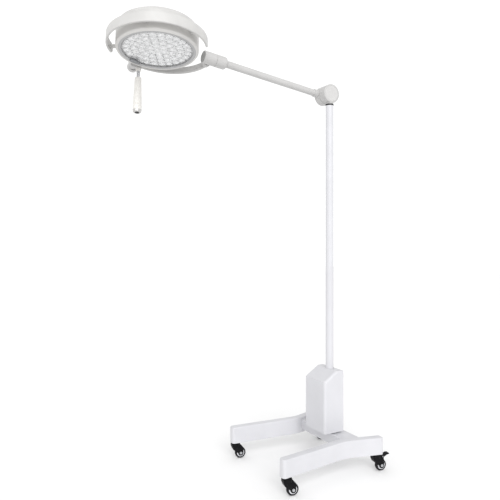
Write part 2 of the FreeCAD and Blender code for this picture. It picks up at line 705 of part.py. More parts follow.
drum_front = rod(
    "drum_front", "drum_radius", "drum_front_x - drum_seam_x", ("drum_seam_x", "0", "drum_height"), X_AXIS
)
drum_front_soft = rounded(
    "drum_front_soft", drum_front, "3", lambda edge: edge.BoundBox.XMin > value("drum_front_x") - 1
)
drum_neck = rod(
    "drum_neck", "neck_radius", "drum_height - ({})".format(neck_start), ("0", "0", neck_start)
)
spindle_bore = rod(
    "spindle_bore", "spindle_radius", "drum_height - 22 - ({})".format(neck_start), ("0", "0", neck_start)
)
bolt_bore = rod("bolt_bore", "bolt_radius", "29", ("drum_seam_x", "0", "drum_height"), X_AXIS)
cap_recess = rod(
    "cap_recess", "cap_radius", "cap_thickness",
    ("drum_front_x - cap_thickness", "0", "drum_height"), X_AXIS
)
sub_part(
    cut("pole_head", join("pole_head_solid", drum_front_soft, drum_neck),
        spindle_bore, bolt_bore, cap_recess),
    "pole_head"
)
cap_disc = rod(
    "cap_disc", "cap_radius", "cap_thickness",
    ("drum_front_x - cap_thickness", "0", "drum_height"), X_AXIS
)
sub_part(
    rounded("cap_soft", cap_disc, "1.2",
            lambda edge: edge.BoundBox.XMin > value("drum_front_x") - 1),
    "drum_cap"
)

washer_disc = rod(
    "washer_disc", "drum_radius - 3", "washer_thickness",
    ("drum_seam_x - washer_thickness", "0", "drum_height"), X_AXIS
)
washer_hole = rod(
    "washer_hole", "bolt_radius", "washer_thickness",
    ("drum_seam_x - washer_thickness", "0", "drum_height"), X_AXIS
)
sub_part(cut("friction_washer", washer_disc, washer_hole), "friction_washer")

bolt_bar = rod(
    "bolt_bar", "bolt_radius", "8 - (drum_rear_x + 10)", ("drum_rear_x + 10", "0", "drum_height"), X_AXIS
)
bolt_head = rod(
    "bolt_head", "bolt_head_radius", "6", ("drum_rear_x + 4", "0", "drum_height"), X_AXIS
)
sub_part(join("tilt_bolt", bolt_bar, bolt_head), "tilt_bolt")

# The arm's parts are drawn about the drum axis, with the arm along -Y.
half_width = "(drum_seam_x - washer_thickness - bearing_gap - drum_rear_x)"
hub_low = "drum_rear_x - arm_x"
hub_drum = rod("hub_drum", "drum_radius", half_width, (hub_low, "0", "0"), X_AXIS)
hub_drum_soft = rounded(
    "hub_drum_soft", hub_drum, "3", lambda edge: edge.BoundBox.XMax < value(hub_low) + 1
)
HUB_SOCKET_END = "62"
hub_neck = taper(
    "hub_neck", "tube_radius + 2.5", "18.5", "{} - 8".format(HUB_SOCKET_END),
    ("0", "-{}".format(HUB_SOCKET_END), "0"), Y_AXIS
)
tube_socket = rod(
    "tube_socket", "tube_radius", "{} - tube_start".format(HUB_SOCKET_END),
    ("0", "-{}".format(HUB_SOCKET_END), "0"), Y_AXIS
)
hub_bore = rod("hub_bore", "bolt_radius + running_clearance", "60", ("-30", "0", "0"), X_AXIS)
hub_recess = rod("hub_recess", "bolt_head_radius + 1", "11.7", (hub_low, "0", "0"), X_AXIS)
sub_part(
    cut("arm_hub", join("arm_hub_solid", hub_drum_soft, hub_neck), tube_socket, hub_bore, hub_recess),
    "arm_hub", ARM
)

tube_end = "collar_start + 16"
tube_outer = rod(
    "tube_outer", "tube_radius", "{} - tube_start".format(tube_end), ("0", "-({})".format(tube_end), "0"),
    Y_AXIS
)
tube_inner = rod(
    "tube_inner", "tube_radius - tube_wall", "{} - tube_start".format(tube_end),
    ("0", "-({})".format(tube_end), "0"), Y_AXIS
)
sub_part(cut("arm_tube", tube_outer, tube_inner), "arm_tube", ARM)


# A body that was revolved about Z, laid so that its height runs along the arm.
ALONG_ARM = Placement(Vector(), Rotation(Vector(1, 0, 0), 90))

collar = revolved("collar", [
    ("tube_radius", "collar_start"), ("tube_radius + 4", "collar_start"),
    ("knuckle_radius - 2", "collar_start + 4"), ("knuckle_radius", "collar_start + 8"),
    ("knuckle_radius", "knuckle_seam - 0.8"), ("knuckle_radius - 0.8", "knuckle_seam"),
    ("roll_pin_radius + running_clearance", "knuckle_seam"),
    ("roll_pin_radius + running_clearance", "collar_start + 20"),
    ("tube_radius", "collar_start + 20"),
])
sub_part(collar, "arm_collar", ARM.multiply(ALONG_ARM))

# The knuckle and the yoke are drawn about the head's centre, with the arm towards +Y.
knuckle_face = "head_distance - knuckle_seam - 0.5"
knuckle_tip = "head_distance - knuckle_end"
spigot_end = knuckle_face + " + 27"
knuckle_turned = revolved("knuckle_turned", [
    ("0", knuckle_tip), ("knuckle_radius - 2", knuckle_tip), ("knuckle_radius", knuckle_tip + " + 2"),
    ("knuckle_radius", knuckle_face + " - 0.8"), ("knuckle_radius - 0.8", knuckle_face),
    ("roll_pin_radius", knuckle_face), ("roll_pin_radius", spigot_end), ("0", spigot_end),
])
knuckle_turned.Placement = Placement(Vector(), Rotation(Vector(1, 0, 0), -90))
knuckle_boss = rod(
    "knuckle_boss", "17", "-yoke_start_x - 14",
    ("yoke_start_x", "yoke_centre_y + yoke_radius - 9", "(yoke_bottom + yoke_top) / 2"), X_AXIS
)
sub_part(join("knuckle_solid", knuckle_turned, knuckle_boss), "yoke_knuckle", YOKE)

band_at = ("0", "yoke_centre_y", "yoke_bottom")
band_outer = rod("band_outer", "yoke_radius", "yoke_top - yoke_bottom", band_at)
band_inner = rod("band_inner", "yoke_radius - yoke_thickness", "yoke_top - yoke_bottom", band_at)
band_ring = cut("band_ring", band_outer, band_inner)
band_quarter = block(
    "band_quarter", ("-yoke_radius - 10", "pivot_y", "yoke_bottom - 5"),
    ("yoke_radius + 10 + yoke_start_x", "yoke_radius * 2", "yoke_top - yoke_bottom + 10"),
)
band = overlap("band", band_ring, band_quarter)
band_soft = rounded(
    "band_soft", band, "4",
    lambda edge: edge.BoundBox.ZLength < 1e-6 and isinstance(edge.Curve, Part.Circle)
)
boss_barrel = rod(
    "boss_barrel", "boss_radius", "boss_inner_x - boss_outer_x", ("boss_outer_x", "pivot_y", "pivot_z"),
    X_AXIS
)
boss_barrel_soft = rounded("boss_barrel_soft", boss_barrel, "2.5",
                           lambda edge: edge.BoundBox.XMax < value("boss_outer_x") + 1)
boss_bore = rod(
    "boss_bore", "pivot_radius + running_clearance", "boss_inner_x - boss_outer_x",
    ("boss_outer_x", "pivot_y", "pivot_z"), X_AXIS
)
boss_recess = rod(
    "boss_hollow", "boss_cap_radius", "boss_recess", ("boss_outer_x", "pivot_y", "pivot_z"), X_AXIS
)
boss_face = rod(
    "boss_face", "pin_flange_radius + 1", "pin_flange_radius", ("boss_inner_x", "pivot_y", "pivot_z"), X_AXIS
)
yoke_solid = join("yoke_solid", band_soft, boss_barrel_soft)
sub_part(cut("yoke_bored", yoke_solid, boss_bore, boss_recess, boss_face), "yoke", YOKE)
boss_disc = rod(
    "boss_disc", "boss_cap_radius", "boss_cap", ("boss_outer_x", "pivot_y", "pivot_z"), X_AXIS
)
sub_part(boss_disc, "boss_cap", YOKE)


# ---------------------------------------------------------------- head

pitch = math.radians(value("head_pitch"))
PIVOT_Y = value("pivot_y") * math.cos(pitch) + value("pivot_z") * math.sin(pitch)
PIVOT_Z = value("pivot_z") * math.cos(pitch) - value("pivot_y") * math.sin(pitch)

shell = revolved("shell", [
    ("bezel_outer", "face_z + 8"), ("bezel_outer", "face_z + 1.5"), ("bezel_outer + 2", "face_z"),
    ("head_radius - 5", "face_z"), ("head_radius", "face_z + 7"), ("head_radius", "cover_z"),
    ("head_radius - shell_wall", "cover_z"), ("head_radius - shell_wall", "face_z + 8"),
])
soften(shell, "3", level_at(value("face_z + 7")))
sub_part(shell, "head_shell", HEAD)

cover = revolved("cover", [
    ("head_radius", "cover_z + 0.4"), ("head_radius", "cover_z + 16"), ("head_radius - 2", "crown_z - 20.5"),
    ("head_radius - 6", "crown_z - 15.5"), ("head_radius - 12", "crown_z - 11.5"),
    ("head_radius - 22", "crown_z - 6.5"), ("head_radius - 50", "crown_z - 2"), ("60", "crown_z"),
    ("0", "crown_z"), ("0", "crown_z - 3"), ("60", "crown_z - 3"), ("head_radius - 51", "crown_z - 5"),
    ("head_radius - 24", "crown_z - 9.5"), ("head_radius - 14", "crown_z - 14"),
    ("head_radius - 8.5", "crown_z - 18"), ("head_radius - 5", "crown_z - 23"),
    ("head_radius - 4", "cover_z + 14"), ("head_radius - 4", "cover_z - 6"),
    ("head_radius - 3.2", "cover_z - 6"), ("head_radius - 3.2", "cover_z + 0.4"),
])
sub_part(cover, "head_cover", HEAD)

window_top = "face_z + 3.5 + window_thickness"
bezel = revolved("bezel", [
    ("bezel_inner", "face_z + 3.5"), ("bezel_inner + 3", "face_z + 1.5"), ("bezel_outer", "face_z + 1.5"),
    ("bezel_outer", "face_z + 8"), ("bezel_outer - 6", "face_z + 8"), ("bezel_outer - 6", window_top),
    ("bezel_inner", window_top),
])
sub_part(bezel, "bezel", HEAD)

window = rod("window_disc", "bezel_inner", "window_thickness", ("0", "0", "face_z + 3.5"))
sub_part(window, "window", HEAD)

board_z = "{} + 1.5 + lens_height".format(window_top)
board = rod("board_disc", "board_radius", "board_thickness", ("0", "0", board_z))
sub_part(board, "led_board", HEAD)


def lens_places():
    """A centre lens and four rings of six, twelve, eighteen and twenty-four."""
    places = [(0.0, 0.0)]
    for ring in (1, 2, 3, 4):
        for index in range(6 * ring):
            angle = 2 * math.pi * (index + 0.5 * (ring % 2)) / (6 * ring)
            radius = ring * value("lens_pitch")
            places.append((radius * math.cos(angle), radius * math.sin(angle)))
    return places


def lens_shape(x, y):
    """Collimator lens: a narrow seat on the board that widens to a flat front."""
    front = value(window_top) + 1.5
    height = value("lens_height")
    radius = value("lens_radius")
    rim = Part.makeCylinder(radius, 2, Vector(x, y, front))
    body = Part.makeCone(radius - 0.5, radius / 2, height - 2, Vector(x, y, front + 2))
    return rim.fuse(body).removeSplitter()


lenses = feature("lenses", Part.makeCompound([lens_shape(x, y) for x, y in lens_places()]))
sub_part(lenses, "lens_array", HEAD)

sink_z = "{} + board_thickness".format(board_z)
sink_plate = rod("sink_plate", "board_radius", "sink_thickness", ("0", "0", sink_z))
fins = [
    block("sink_fin_%d" % i, ("-100", 16 * (i - 5) - 1, "{} + sink_thickness".format(sink_z)),
          ("200", "2", "sink_height - sink_thickness"))
    for i in range(11) if i not in (4, 5, 6)
]
sub_part(join("heat_sink", sink_plate, *fins), "heat_sink", HEAD)
rail_body = revolved("rail_body", [
    ("rail_inner", "rail_bottom"), ("rail_outer", "rail_bottom"), ("rail_outer", "rail_top"),
    ("rail_inner", "rail_top"),
], sweep="rail_sweep")
soften(rail_body, "14", lambda edge: edge.BoundBox.ZLength < 1e-6 and isinstance(edge.Curve, Part.Line))
soften(rail_body, "3", lambda edge: True)
rail_turn = Placement(Vector(), Rotation(Vector(0, 0, 1), value("rail_start")))
sub_part(rail_body, "hand_rail", HEAD.multiply(rail_turn))

POST_ANGLES = (-127, -38, 28)
post_zone = cut(
    "post_zone", rod("post_zone_outer", "rail_inner", "2 * post_radius", ("0", "0", "post_z - post_radius")),
    rod("post_zone_inner", "head_radius", "2 * post_radius", ("0", "0", "post_z - post_radius"))
)
doc.recompute()
post_solids = []
for angle in POST_ANGLES:
    direction = Vector(math.cos(math.radians(angle)), math.sin(math.radians(angle)), 0)
    start = direction * (value("head_radius") - 10) + Vector(0, 0, value("post_z"))
    bar_solid = Part.makeCylinder(value("post_radius"), 60, start, direction)
    post_solids.append(bar_solid.common(post_zone.Shape).Solids[0])
sub_part(feature("posts", Part.makeCompound(post_solids)), "rail_posts", HEAD)


# ---------------------------------------------------------------- head pivot and handle

def pivot_block_shape():
    """Lug on the head's rim that carries the pivot pin and the handle."""
    inner = value("boss_inner_x") + value("bearing_gap") + value("pin_flange")
    low = value("face_z") - 6
    lug = Part.makeBox(40, 50, 44, Vector(inner, PIVOT_Y - 25, low))
    lug = lug.makeFillet(7, [edge for edge in lug.Edges if edge.BoundBox.XMax < inner + 1])
    rim = Part.makeCylinder(value("head_radius"), 100, Vector(0, 0, low - 10))
    pin = Part.makeCylinder(value("pivot_radius"), 60, Vector(inner, PIVOT_Y, PIVOT_Z), Vector(1, 0, 0))
    stud = Part.makeCylinder(4, 8, Vector(value("handle_x"), value("handle_y"), low))
    return lug.cut([rim, pin, stud]).removeSplitter()


sub_part(feature("pivot_block", pivot_block_shape()), "pivot_block", HEAD)
pin_outer = value("boss_outer_x") + value("boss_recess") + 1
pin_reach = value("boss_inner_x") + 22 - pin_outer
pin_bar = Part.makeCylinder(
    value("pivot_radius"), pin_reach, Vector(pin_outer, PIVOT_Y, PIVOT_Z), Vector(1, 0, 0)
)
flange_start = Vector(value("boss_inner_x") + value("bearing_gap"), PIVOT_Y, PIVOT_Z)
pin_flange = Part.makeCylinder(
    value("pin_flange_radius"), value("pin_flange"), flange_start, Vector(1, 0, 0)
)
sub_part(feature("pivot", pin_bar.fuse(pin_flange).removeSplitter()), "pivot_pin", HEAD)


pad_outline = doc.addObject("Part::Box", "pad_middle")
bind(pad_outline, Length="22", Width="26", Height="4")
pad_ends = [rod("pad_end_%d" % i, "11", "4", ("11", 26 * i, "0")) for i in (0, 1)]
pad_solid = join("pad_solid", pad_outline, *pad_ends)
pad_angle = Rotation(Vector(0, 0, 1), value("pad_angle"))
pad_centre = pad_angle.multVec(Vector(value("pad_distance"), 0, value("face_z") - 0.5))
pad_solid.Placement = Placement(pad_centre, pad_angle).multiply(Placement(Vector(-11, -13, 0), Rotation()))
pad_room = rod("pad_room", "head_radius", "20", ("0", "0", "face_z + 3.5"))
pad_ring = revolved("pad_ring", [
    ("bezel_inner", "face_z + 3.5"), ("bezel_inner + 3", "face_z + 1.5"), ("head_radius", "face_z + 1.5"),
    ("head_radius", "face_z + 5"), ("bezel_inner", "face_z + 5"),
])
sub_part(cut("pad", pad_solid, pad_room, pad_ring), "keypad", HEAD)

# The handle hangs below the lug; its parts are turned about its own axis.
handle_top = value("face_z") - 6
HANDLE = HEAD.multiply(Placement(Vector(value("handle_x"), value("handle_y"), handle_top), Rotation()))
cap_end = "-handle_cap"
shaft_end = "-(handle_cap + shaft_length)"
grip_end = "-(handle_cap + shaft_length + grip_length)"
sub_part(revolved("handle_cap_body", [
    ("0", "8"), ("4", "8"), ("4", "0"), ("handle_cap_radius", "0"), ("handle_cap_radius", cap_end + " + 2"),
    ("handle_cap_radius - 2", cap_end), ("0", cap_end),
]), "handle_cap", HANDLE)
sub_part(revolved("handle_shaft_body", [
    ("0", cap_end), ("shaft_radius", cap_end), ("shaft_radius", shaft_end), ("0", shaft_end),
]), "handle_shaft", HANDLE)
grip = revolved("handle_grip_body", [
    ("0", shaft_end), ("grip_top_radius - 2", shaft_end), ("grip_top_radius + 1.3", shaft_end + " - 3"),
    ("grip_top_radius + 3", shaft_end + " - 50"), ("grip_top_radius + 5", shaft_end + " - 90"),
    ("grip_end_radius - 0.6", grip_end + " + 26"), ("grip_end_radius - 1.6", grip_end + " + 24"),
    ("grip_end_radius - 1.6", grip_end + " + 21"), ("grip_end_radius", grip_end + " + 19"),
    ("grip_end_radius", grip_end), ("0", grip_end),
])
sub_part(grip, "handle_grip", HANDLE)
cap_foot = "{} - end_cap".format(grip_end)
button_room = "button_radius + running_clearance"
sub_part(revolved("handle_end_body", [
    ("0", grip_end), ("grip_end_radius - 1", grip_end), ("grip_end_radius - 1", cap_foot + " + 3"),
    ("grip_end_radius - 4", cap_foot), (button_room, cap_foot), (button_room, cap_foot + " + 7"),
    ("0", cap_foot + " + 7"),
]), "handle_end", HANDLE)
button_foot = cap_foot + " - 2.4"
sub_part(revolved("handle_button_body", [
    ("0", button_foot), ("button_radius - 2", button_foot), ("button_radius", button_foot + " + 1.5"),
    ("button_radius", cap_foot + " + 7 - button_travel - 0.3"),
    ("0", cap_foot + " + 7 - button_travel - 0.3"),
]), "handle_button", HANDLE)


# ---------------------------------------------------------------- check and write

doc.recompute()
for item in doc.Objects:
    if "Invalid" in item.State or "Error" in item.State:
        raise RuntimeError("failed: " + item.Name)
for item in sub_parts:
    if item.Shape.isNull() or not item.Shape.isValid():
        raise RuntimeError("bad shape: " + item.Label)

os.makedirs("parts", exist_ok=True)
for item in sub_parts:
    item.Shape.exportStep("parts/{}.step".format(item.Label))
    print("{:24s} {:12.0f} mm3 {:3d} solids".format(item.Label, item.Shape.Volume, len(item.Shape.Solids)))
print(len(sub_parts), "sub-parts")
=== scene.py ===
"""Looks of the mobile examination lamp, laid out as a Blender add-on and built round its CAD frame."""

import json
import math

import bmesh
import bpy
from bpy.props import FloatProperty, FloatVectorProperty, IntProperty, PointerProperty
from mathutils import Matrix, Vector


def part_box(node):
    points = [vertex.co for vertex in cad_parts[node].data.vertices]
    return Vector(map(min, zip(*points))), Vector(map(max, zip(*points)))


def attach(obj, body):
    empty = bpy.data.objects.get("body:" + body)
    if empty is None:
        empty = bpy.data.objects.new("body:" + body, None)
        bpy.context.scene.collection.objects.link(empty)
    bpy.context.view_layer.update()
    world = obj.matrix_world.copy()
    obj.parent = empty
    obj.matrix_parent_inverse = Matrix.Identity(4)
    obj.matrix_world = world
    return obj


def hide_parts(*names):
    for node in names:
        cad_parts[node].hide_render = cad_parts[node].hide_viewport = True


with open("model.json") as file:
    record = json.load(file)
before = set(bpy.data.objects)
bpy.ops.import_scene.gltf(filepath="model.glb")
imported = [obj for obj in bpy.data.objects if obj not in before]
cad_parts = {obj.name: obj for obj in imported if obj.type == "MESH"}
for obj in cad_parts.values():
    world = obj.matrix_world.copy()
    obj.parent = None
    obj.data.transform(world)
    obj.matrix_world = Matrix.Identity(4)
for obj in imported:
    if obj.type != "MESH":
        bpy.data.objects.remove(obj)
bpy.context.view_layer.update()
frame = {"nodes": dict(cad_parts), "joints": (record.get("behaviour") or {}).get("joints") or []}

bl_info = {
    "name": "Examination Lamp Looks",
    "version": (1, 0, 0),
    "blender": (4, 5, 0),
    "location": "View3D > Sidebar > Lamp",
    "description": "Finishes and fine detail of a mobile examination lamp",
    "category": "Object",
}

CORNERS = ("left_front", "right_front", "left_rear", "right_rear")
MM = 0.001
WINDOW_TO_ORIGIN = 37 * MM
KEY_FROM = Vector((0.80, -0.35, 0.50))
CAMERA_PLACE = (1.985, -1.568)
CAMERA_TURN = math.radians(60.09)
CAMERA_SHIFT = -0.0213
SENSOR_WIDTH = 36.0
SHARP_EDGE = math.radians(32.0)
SAME_POINT = 1e-6
ON_AXIS = 1e-9

# Parts of a noise's range over which a finish changes.
CLOUD_BAND = (0.35, 0.65)
MARK_BAND = (0.3, 0.7)
WIPE_BAND = (0.35, 0.7)
DUST_BAND = (0.42, 0.72)
TRACK_BAND = (0.02, 0.06)
# Height of the sky direction over which the surround darkens.
SKY_BAND = (0.35, 0.75)
DUST_REACH, DUST_LOW, DUST_HIGH = 0.05, 0.30, 0.03
# The caps are a polymer of their own. Their lighter tone than the arm is painted light for the brightly lit
# end face of the drum.
CAP_PAINTED_LIGHT = 1.12


# ------------------------------------------------------------------ settings

def colour(name, description, default):
    return FloatVectorProperty(
        name=name, description=description, default=default, subtype="COLOR", min=0.0, max=1.0
    )


def length(name, description, default):
    return FloatProperty(
        name=name, description=description, default=default, min=0.0, precision=4,
        subtype="DISTANCE", unit="LENGTH",
    )


def strength(name, description, default):
    return FloatProperty(
        name=name, description=description, default=default, min=0.0, soft_max=3.0, subtype="FACTOR"
    )


class LampPaintSettings(bpy.types.PropertyGroup):
    """Colours of the painted and moulded parts."""
    base: colour("Base", "Powder coat of the legs, box and pole", (0.575, 0.575, 0.60))
    arm: colour("Arm", "Powder coat of the drum, arm and yoke", (0.475, 0.47, 0.465))
    head: colour("Head", "Moulded polymer of the head and hand rail", (0.53, 0.525, 0.515))
    # Shell: the head's polymer painted lighter, painted light that offsets the shade under the hand rail.
    shell: colour("Shell", "Moulded polymer of the head's side and rim", (0.60, 0.59, 0.575))
    bezel: colour("Bezel", "Ring round the window", (0.40, 0.40, 0.405))
    grip: colour("Grip", "Handle grip", (0.70, 0.685, 0.655))
    # The knuckle plug's dark grey is painted shade: it stands for the shade on the knuckle's open end face.
    plug: colour("Knuckle plug", "Plug in the open end of the knuckle", (0.27, 0.27, 0.265))
    keypad: colour("Keypad", "Membrane of the keypad", (0.19, 0.195, 0.205))
    key: colour("Key", "Keys of the keypad", (0.28, 0.285, 0.30))
    seal: colour("Seal", "Soft seals of the head", (0.26, 0.26, 0.265))
    orange_peel: length("Orange peel", "Wavelength of the coat's ripple", 0.0022)


class LampHardwareSettings(bpy.types.PropertyGroup):
    """Colours of metals, rubber and black plastic."""
    zinc: colour("Zinc", "Plated steel", (0.55, 0.56, 0.58))
    polished: colour("Polished steel", "Handle shaft", (0.72, 0.72, 0.73))
    turned: colour("Turned metal", "End of the handle", (0.62, 0.61, 0.60))
    black: colour("Black plastic", "Castor forks, pedals and pole ring", (0.003, 0.003, 0.004))
    tread: colour("Tread", "Castor tread", (0.010, 0.010, 0.012))
    nylon: colour("Nylon", "Castor wheel centres", (0.72, 0.72, 0.75))
    dust: colour("Dust", "Floor dust low on the castors", (0.10, 0.10, 0.10))
    fibre: colour("Fibre", "Friction washer", (0.18, 0.12, 0.08))
    aluminium: colour("Aluminium", "Heat sink and supply case", (0.57, 0.58, 0.60))
    nickel: colour("Nickel", "Bonding pin", (0.66, 0.58, 0.36))


class LampOpticsSettings(bpy.types.PropertyGroup):
    """Sizes and colours behind the window."""
    rings: IntProperty(
        name="Lens rings", description="Rings round the centre lens", default=4, min=1, max=6
    )
    pitch: length("Lens pitch", "Distance between rings of lenses", 0.030)
    radius: length("Lens radius", "Outer radius of a lens", 0.0142)
    chip: length("LED size", "Side of an LED chip's ceramic base", 0.0050)
    board: colour("Board", "Solder mask of the LED board", (0.80, 0.81, 0.82))
    holder: colour("Holder", "Plate round the lenses", (0.80, 0.80, 0.80))
    clip: colour("Clips", "Small clips between the lenses", (0.16, 0.16, 0.17))
    holder_radius: length("Holder radius", "Outer radius of the plate round the lenses", 0.150)
    holder_depth: length("Holder depth", "From the front of the lenses to the plate", 0.0024)
    ceramic: colour("Ceramic", "Bases of the LED chips", (0.70, 0.70, 0.68))
    light_pipe: colour("Light pipe", "Indicator lights of the keypad", (0.55, 0.70, 0.60))
    phosphor: colour("Phosphor", "LED phosphor", (0.86, 0.70, 0.30))
    lens: colour("Lens", "Clear moulded optic", (0.90, 0.90, 0.905))
    window: colour("Window", "Hard coated window", (0.93, 0.94, 0.95))


class LampTrimSettings(bpy.types.PropertyGroup):
    """Sizes of small trim."""
    bead: length("Weld bead", "Radius of the painted weld beads", 0.0022)
    set_screw: length("Set screw", "Radius of the tube set screws", 0.0030)
    key: length("Key", "Radius of a key on the keypad", 0.0040)
    wheel_width: length("Wheel width", "Width of a castor wheel", 0.0170)
    wheel_rim: length("Wheel rim", "Radius of the ring by the tread", 0.0156)
    wheel_web: length("Wheel web", "Radius of the ring in the dished face", 0.0115)
    wheel_dish: length("Wheel dish", "Depth of the dished face", 0.0040)


class LampStageSettings(bpy.types.PropertyGroup):
    """Floor, light and camera."""
    floor: colour("Floor", "Pale studio floor", (0.90, 0.90, 0.90))
    floor_reach: length("Floor reach", "Half the width of the floor", 14.0)
    lens_mm: FloatProperty(
        name="Lens", description="Focal length of the camera", default=38.8, unit="CAMERA"
    )
    camera_height: length("Camera height", "Height of the camera above the floor", 1.013)
    low_sky: strength("Low sky", "Strength of the surround near the horizon", 1.12)
    high_sky: strength("High sky", "Strength of the surround overhead", 0.75)
    key_light: strength("Key light", "Strength of the wide key light", 1.9)
    key_spread: FloatProperty(
        name="Key spread", description="Angle the key light fills", default=math.radians(50.0),
        subtype="ANGLE", unit="ROTATION",
    )


class LampSettings(bpy.types.PropertyGroup):
    """All settings of the lamp."""
    paint: PointerProperty(type=LampPaintSettings, name="Paint", description="Painted and moulded parts")
    hardware: PointerProperty(type=LampHardwareSettings, name="Hardware", description="Metals and rubber")
    optics: PointerProperty(type=LampOpticsSettings, name="Optics", description="Parts behind the window")
    trim: PointerProperty(type=LampTrimSettings, name="Trim", description="Small trim")
    stage: PointerProperty(type=LampStageSettings, name="Stage", description="Floor, light and camera")


# ------------------------------------------------------------------ places taken from the frame

JOINTS = {joint["name"]: joint for joint in frame["joints"]}


def joint_point(name):
    return Vector(JOINTS[name]["pos_m"])


def joint_axis(name):
    return Vector(JOINTS[name]["axis"]).normalized()


def middle(node):
    low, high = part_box(node)
    return (low + high) / 2


def points_in(place, node):
    """The corners of a CAD node's mesh, in a frame of its own."""
    inward = place.inverted()
    return [inward @ vertex.co for vertex in frame["nodes"][node].data.vertices]


def axes_at(origin, x_axis, y_axis, z_axis):
    """A matrix from three axes and an origin."""
    turn = Matrix((x_axis, y_axis, z_axis)).transposed()
    return Matrix.Translation(origin) @ turn.to_4x4()


def castor_place(corner):
    """A castor's frame: swivel axis on Z, wheel trailing along +X, axle along Y."""
    along = joint_axis("wheel_spin_" + corner)
    up = Vector((0, 0, 1))
    swivel = joint_point("castor_swivel_" + corner)
    return axes_at(Vector((swivel.x, swivel.y, 0)), along.cross(up), along, up)


def head_place():
    """The head's frame: X along the tilt axis, Z square to the window, origin behind the window."""
    up = joint_axis("button_press")
    across = joint_axis("head_tilt")
    return axes_at(middle("window") + up * WINDOW_TO_ORIGIN, across, up.cross(across), up)


def arm_place():
    """The arm's frame: Y back along the arm towards the drum, X along the drum."""
    back = -joint_axis("yoke_roll")
    across = joint_axis("arm_tilt")
    return axes_at(joint_point("arm_tilt"), across, back, across.cross(back))


HEAD = head_place()
ARM = arm_place()
CASTORS = {corner: castor_place(corner) for corner in CORNERS}
WHEEL_HEIGHT = joint_point("wheel_spin_left_front").z
TRAIL = (joint_point("wheel_spin_left_front") - joint_point("castor_swivel_left_front")).xy.length


# ------------------------------------------------------------------ node trees

def new_material(name, base, roughness, metallic=0.0):
    """A material with its Principled shader's constants set on the shader itself."""
    material = bpy.data.materials.new(name)
    material.use_nodes = True
    shader = material.node_tree.nodes["Principled BSDF"]
    shader.inputs["Base Color"].default_value = (*base, 1.0)
    shader.inputs["Roughness"].default_value = roughness
    shader.inputs["Metallic"].default_value = metallic
    return material, shader


def object_coordinates(material, stretch=(1.0, 1.0, 1.0)):
    """The piece's own coordinates, scaled along each axis."""
    nodes, links = material.node_tree.nodes, material.node_tree.links
    place = nodes.new("ShaderNodeTexCoord")
    scale = nodes.new("ShaderNodeMapping")
    scale.inputs["Scale"].default_value = stretch
    links.new(place.outputs["Object"], scale.inputs["Vector"])
    return scale.outputs["Vector"]


def noise(material, coordinates, wavelength, detail, roughness=0.5):
    """Noise with a feature size given in metres."""
    node = material.node_tree.nodes.new("ShaderNodeTexNoise")
    node.inputs["Scale"].default_value = 1.0 / wavelength
    node.inputs["Detail"].default_value = detail
    node.inputs["Roughness"].default_value = roughness
    material.node_tree.links.new(coordinates, node.inputs["Vector"])
    return node.outputs["Fac"]


def spread(material, value, low_in, high_in, low_out=0.0, high_out=1.0):
    """Map one range of values to another."""
    node = material.node_tree.nodes.new("ShaderNodeMapRange")
    ends = {"From Min": low_in, "From Max": high_in, "To Min": low_out, "To Max": high_out}
    for socket, number in ends.items():
        node.inputs[socket].default_value = number
    material.node_tree.links.new(value, node.inputs["Value"])
    return node.outputs["Result"]


def mixed(material, factor, first, second):
    """Mix two plain colours by a factor."""
    node = material.node_tree.nodes.new("ShaderNodeMix")
    node.data_type = "RGBA"
    node.inputs["A"].default_value = (*first, 1.0)
    node.inputs["B"].default_value = (*second, 1.0)
    material.node_tree.links.new(factor, node.inputs["Factor"])
    return node.outputs["Result"]


def bumped(material, shader, height, distance, strength):
    """Raise the surface by a height, whose full range stands for a distance in metres."""
    node = material.node_tree.nodes.new("ShaderNodeBump")
    node.inputs["Distance"].default_value = distance
    node.inputs["Strength"].default_value = strength
    material.node_tree.links.new(height, node.inputs["Height"])
    material.node_tree.links.new(node.outputs["Normal"], shader.inputs["Normal"])


def link(material, output, shader, socket):
    material.node_tree.links.new(output, shader.inputs[socket])


def vary_roughness(material, shader, marks, low, high):
    """Let the roughness follow a noise between two values."""
    link(material, spread(material, marks, *MARK_BAND, low, high), shader, "Roughness")


def shade(base, factor):
    """A colour made darker or lighter."""
    return tuple(min(1.0, channel * factor) for channel in base)


# ------------------------------------------------------------------ finishes

def powder_coat(name, base, ripple):
    """Baked coat: fine orange peel, faint cloudiness and smudges where hands wipe it."""
    roughness = 0.40
    material, shader = new_material(name, base, roughness)
    shader.inputs["Coat Weight"].default_value = 0.15
    shader.inputs["Coat Roughness"].default_value = 0.18
    place = object_coordinates(material)
    cloud = spread(material, noise(material, place, wavelength=0.11, detail=3.0), *CLOUD_BAND)
    link(material, mixed(material, cloud, shade(base, 0.965), shade(base, 1.015)), shader, "Base Color")
    smudge = noise(material, place, wavelength=0.035, detail=4.0, roughness=0.65)
    vary_roughness(material, shader, smudge, roughness - 0.06, roughness + 0.09)
    bumped(material, shader, noise(material, place, ripple, detail=2.0), distance=0.00005, strength=0.55)
    return material


def moulded(name, base, roughness, grain=0.0006):
    """Moulded polymer with a fine spark-eroded grain."""
    material, shader = new_material(name, base, roughness)
    place = object_coordinates(material)
    cloud = spread(material, noise(material, place, wavelength=0.06, detail=3.0), *CLOUD_BAND)
    link(material, mixed(material, cloud, shade(base, 0.96), shade(base, 1.02)), shader, "Base Color")
    handled = noise(material, place, wavelength=0.02, detail=3.0)
    vary_roughness(material, shader, handled, roughness - 0.05, roughness + 0.07)
    erosion = noise(material, place, grain, detail=3.0, roughness=0.6)
    bumped(material, shader, erosion, distance=0.00002, strength=0.6)
    return material


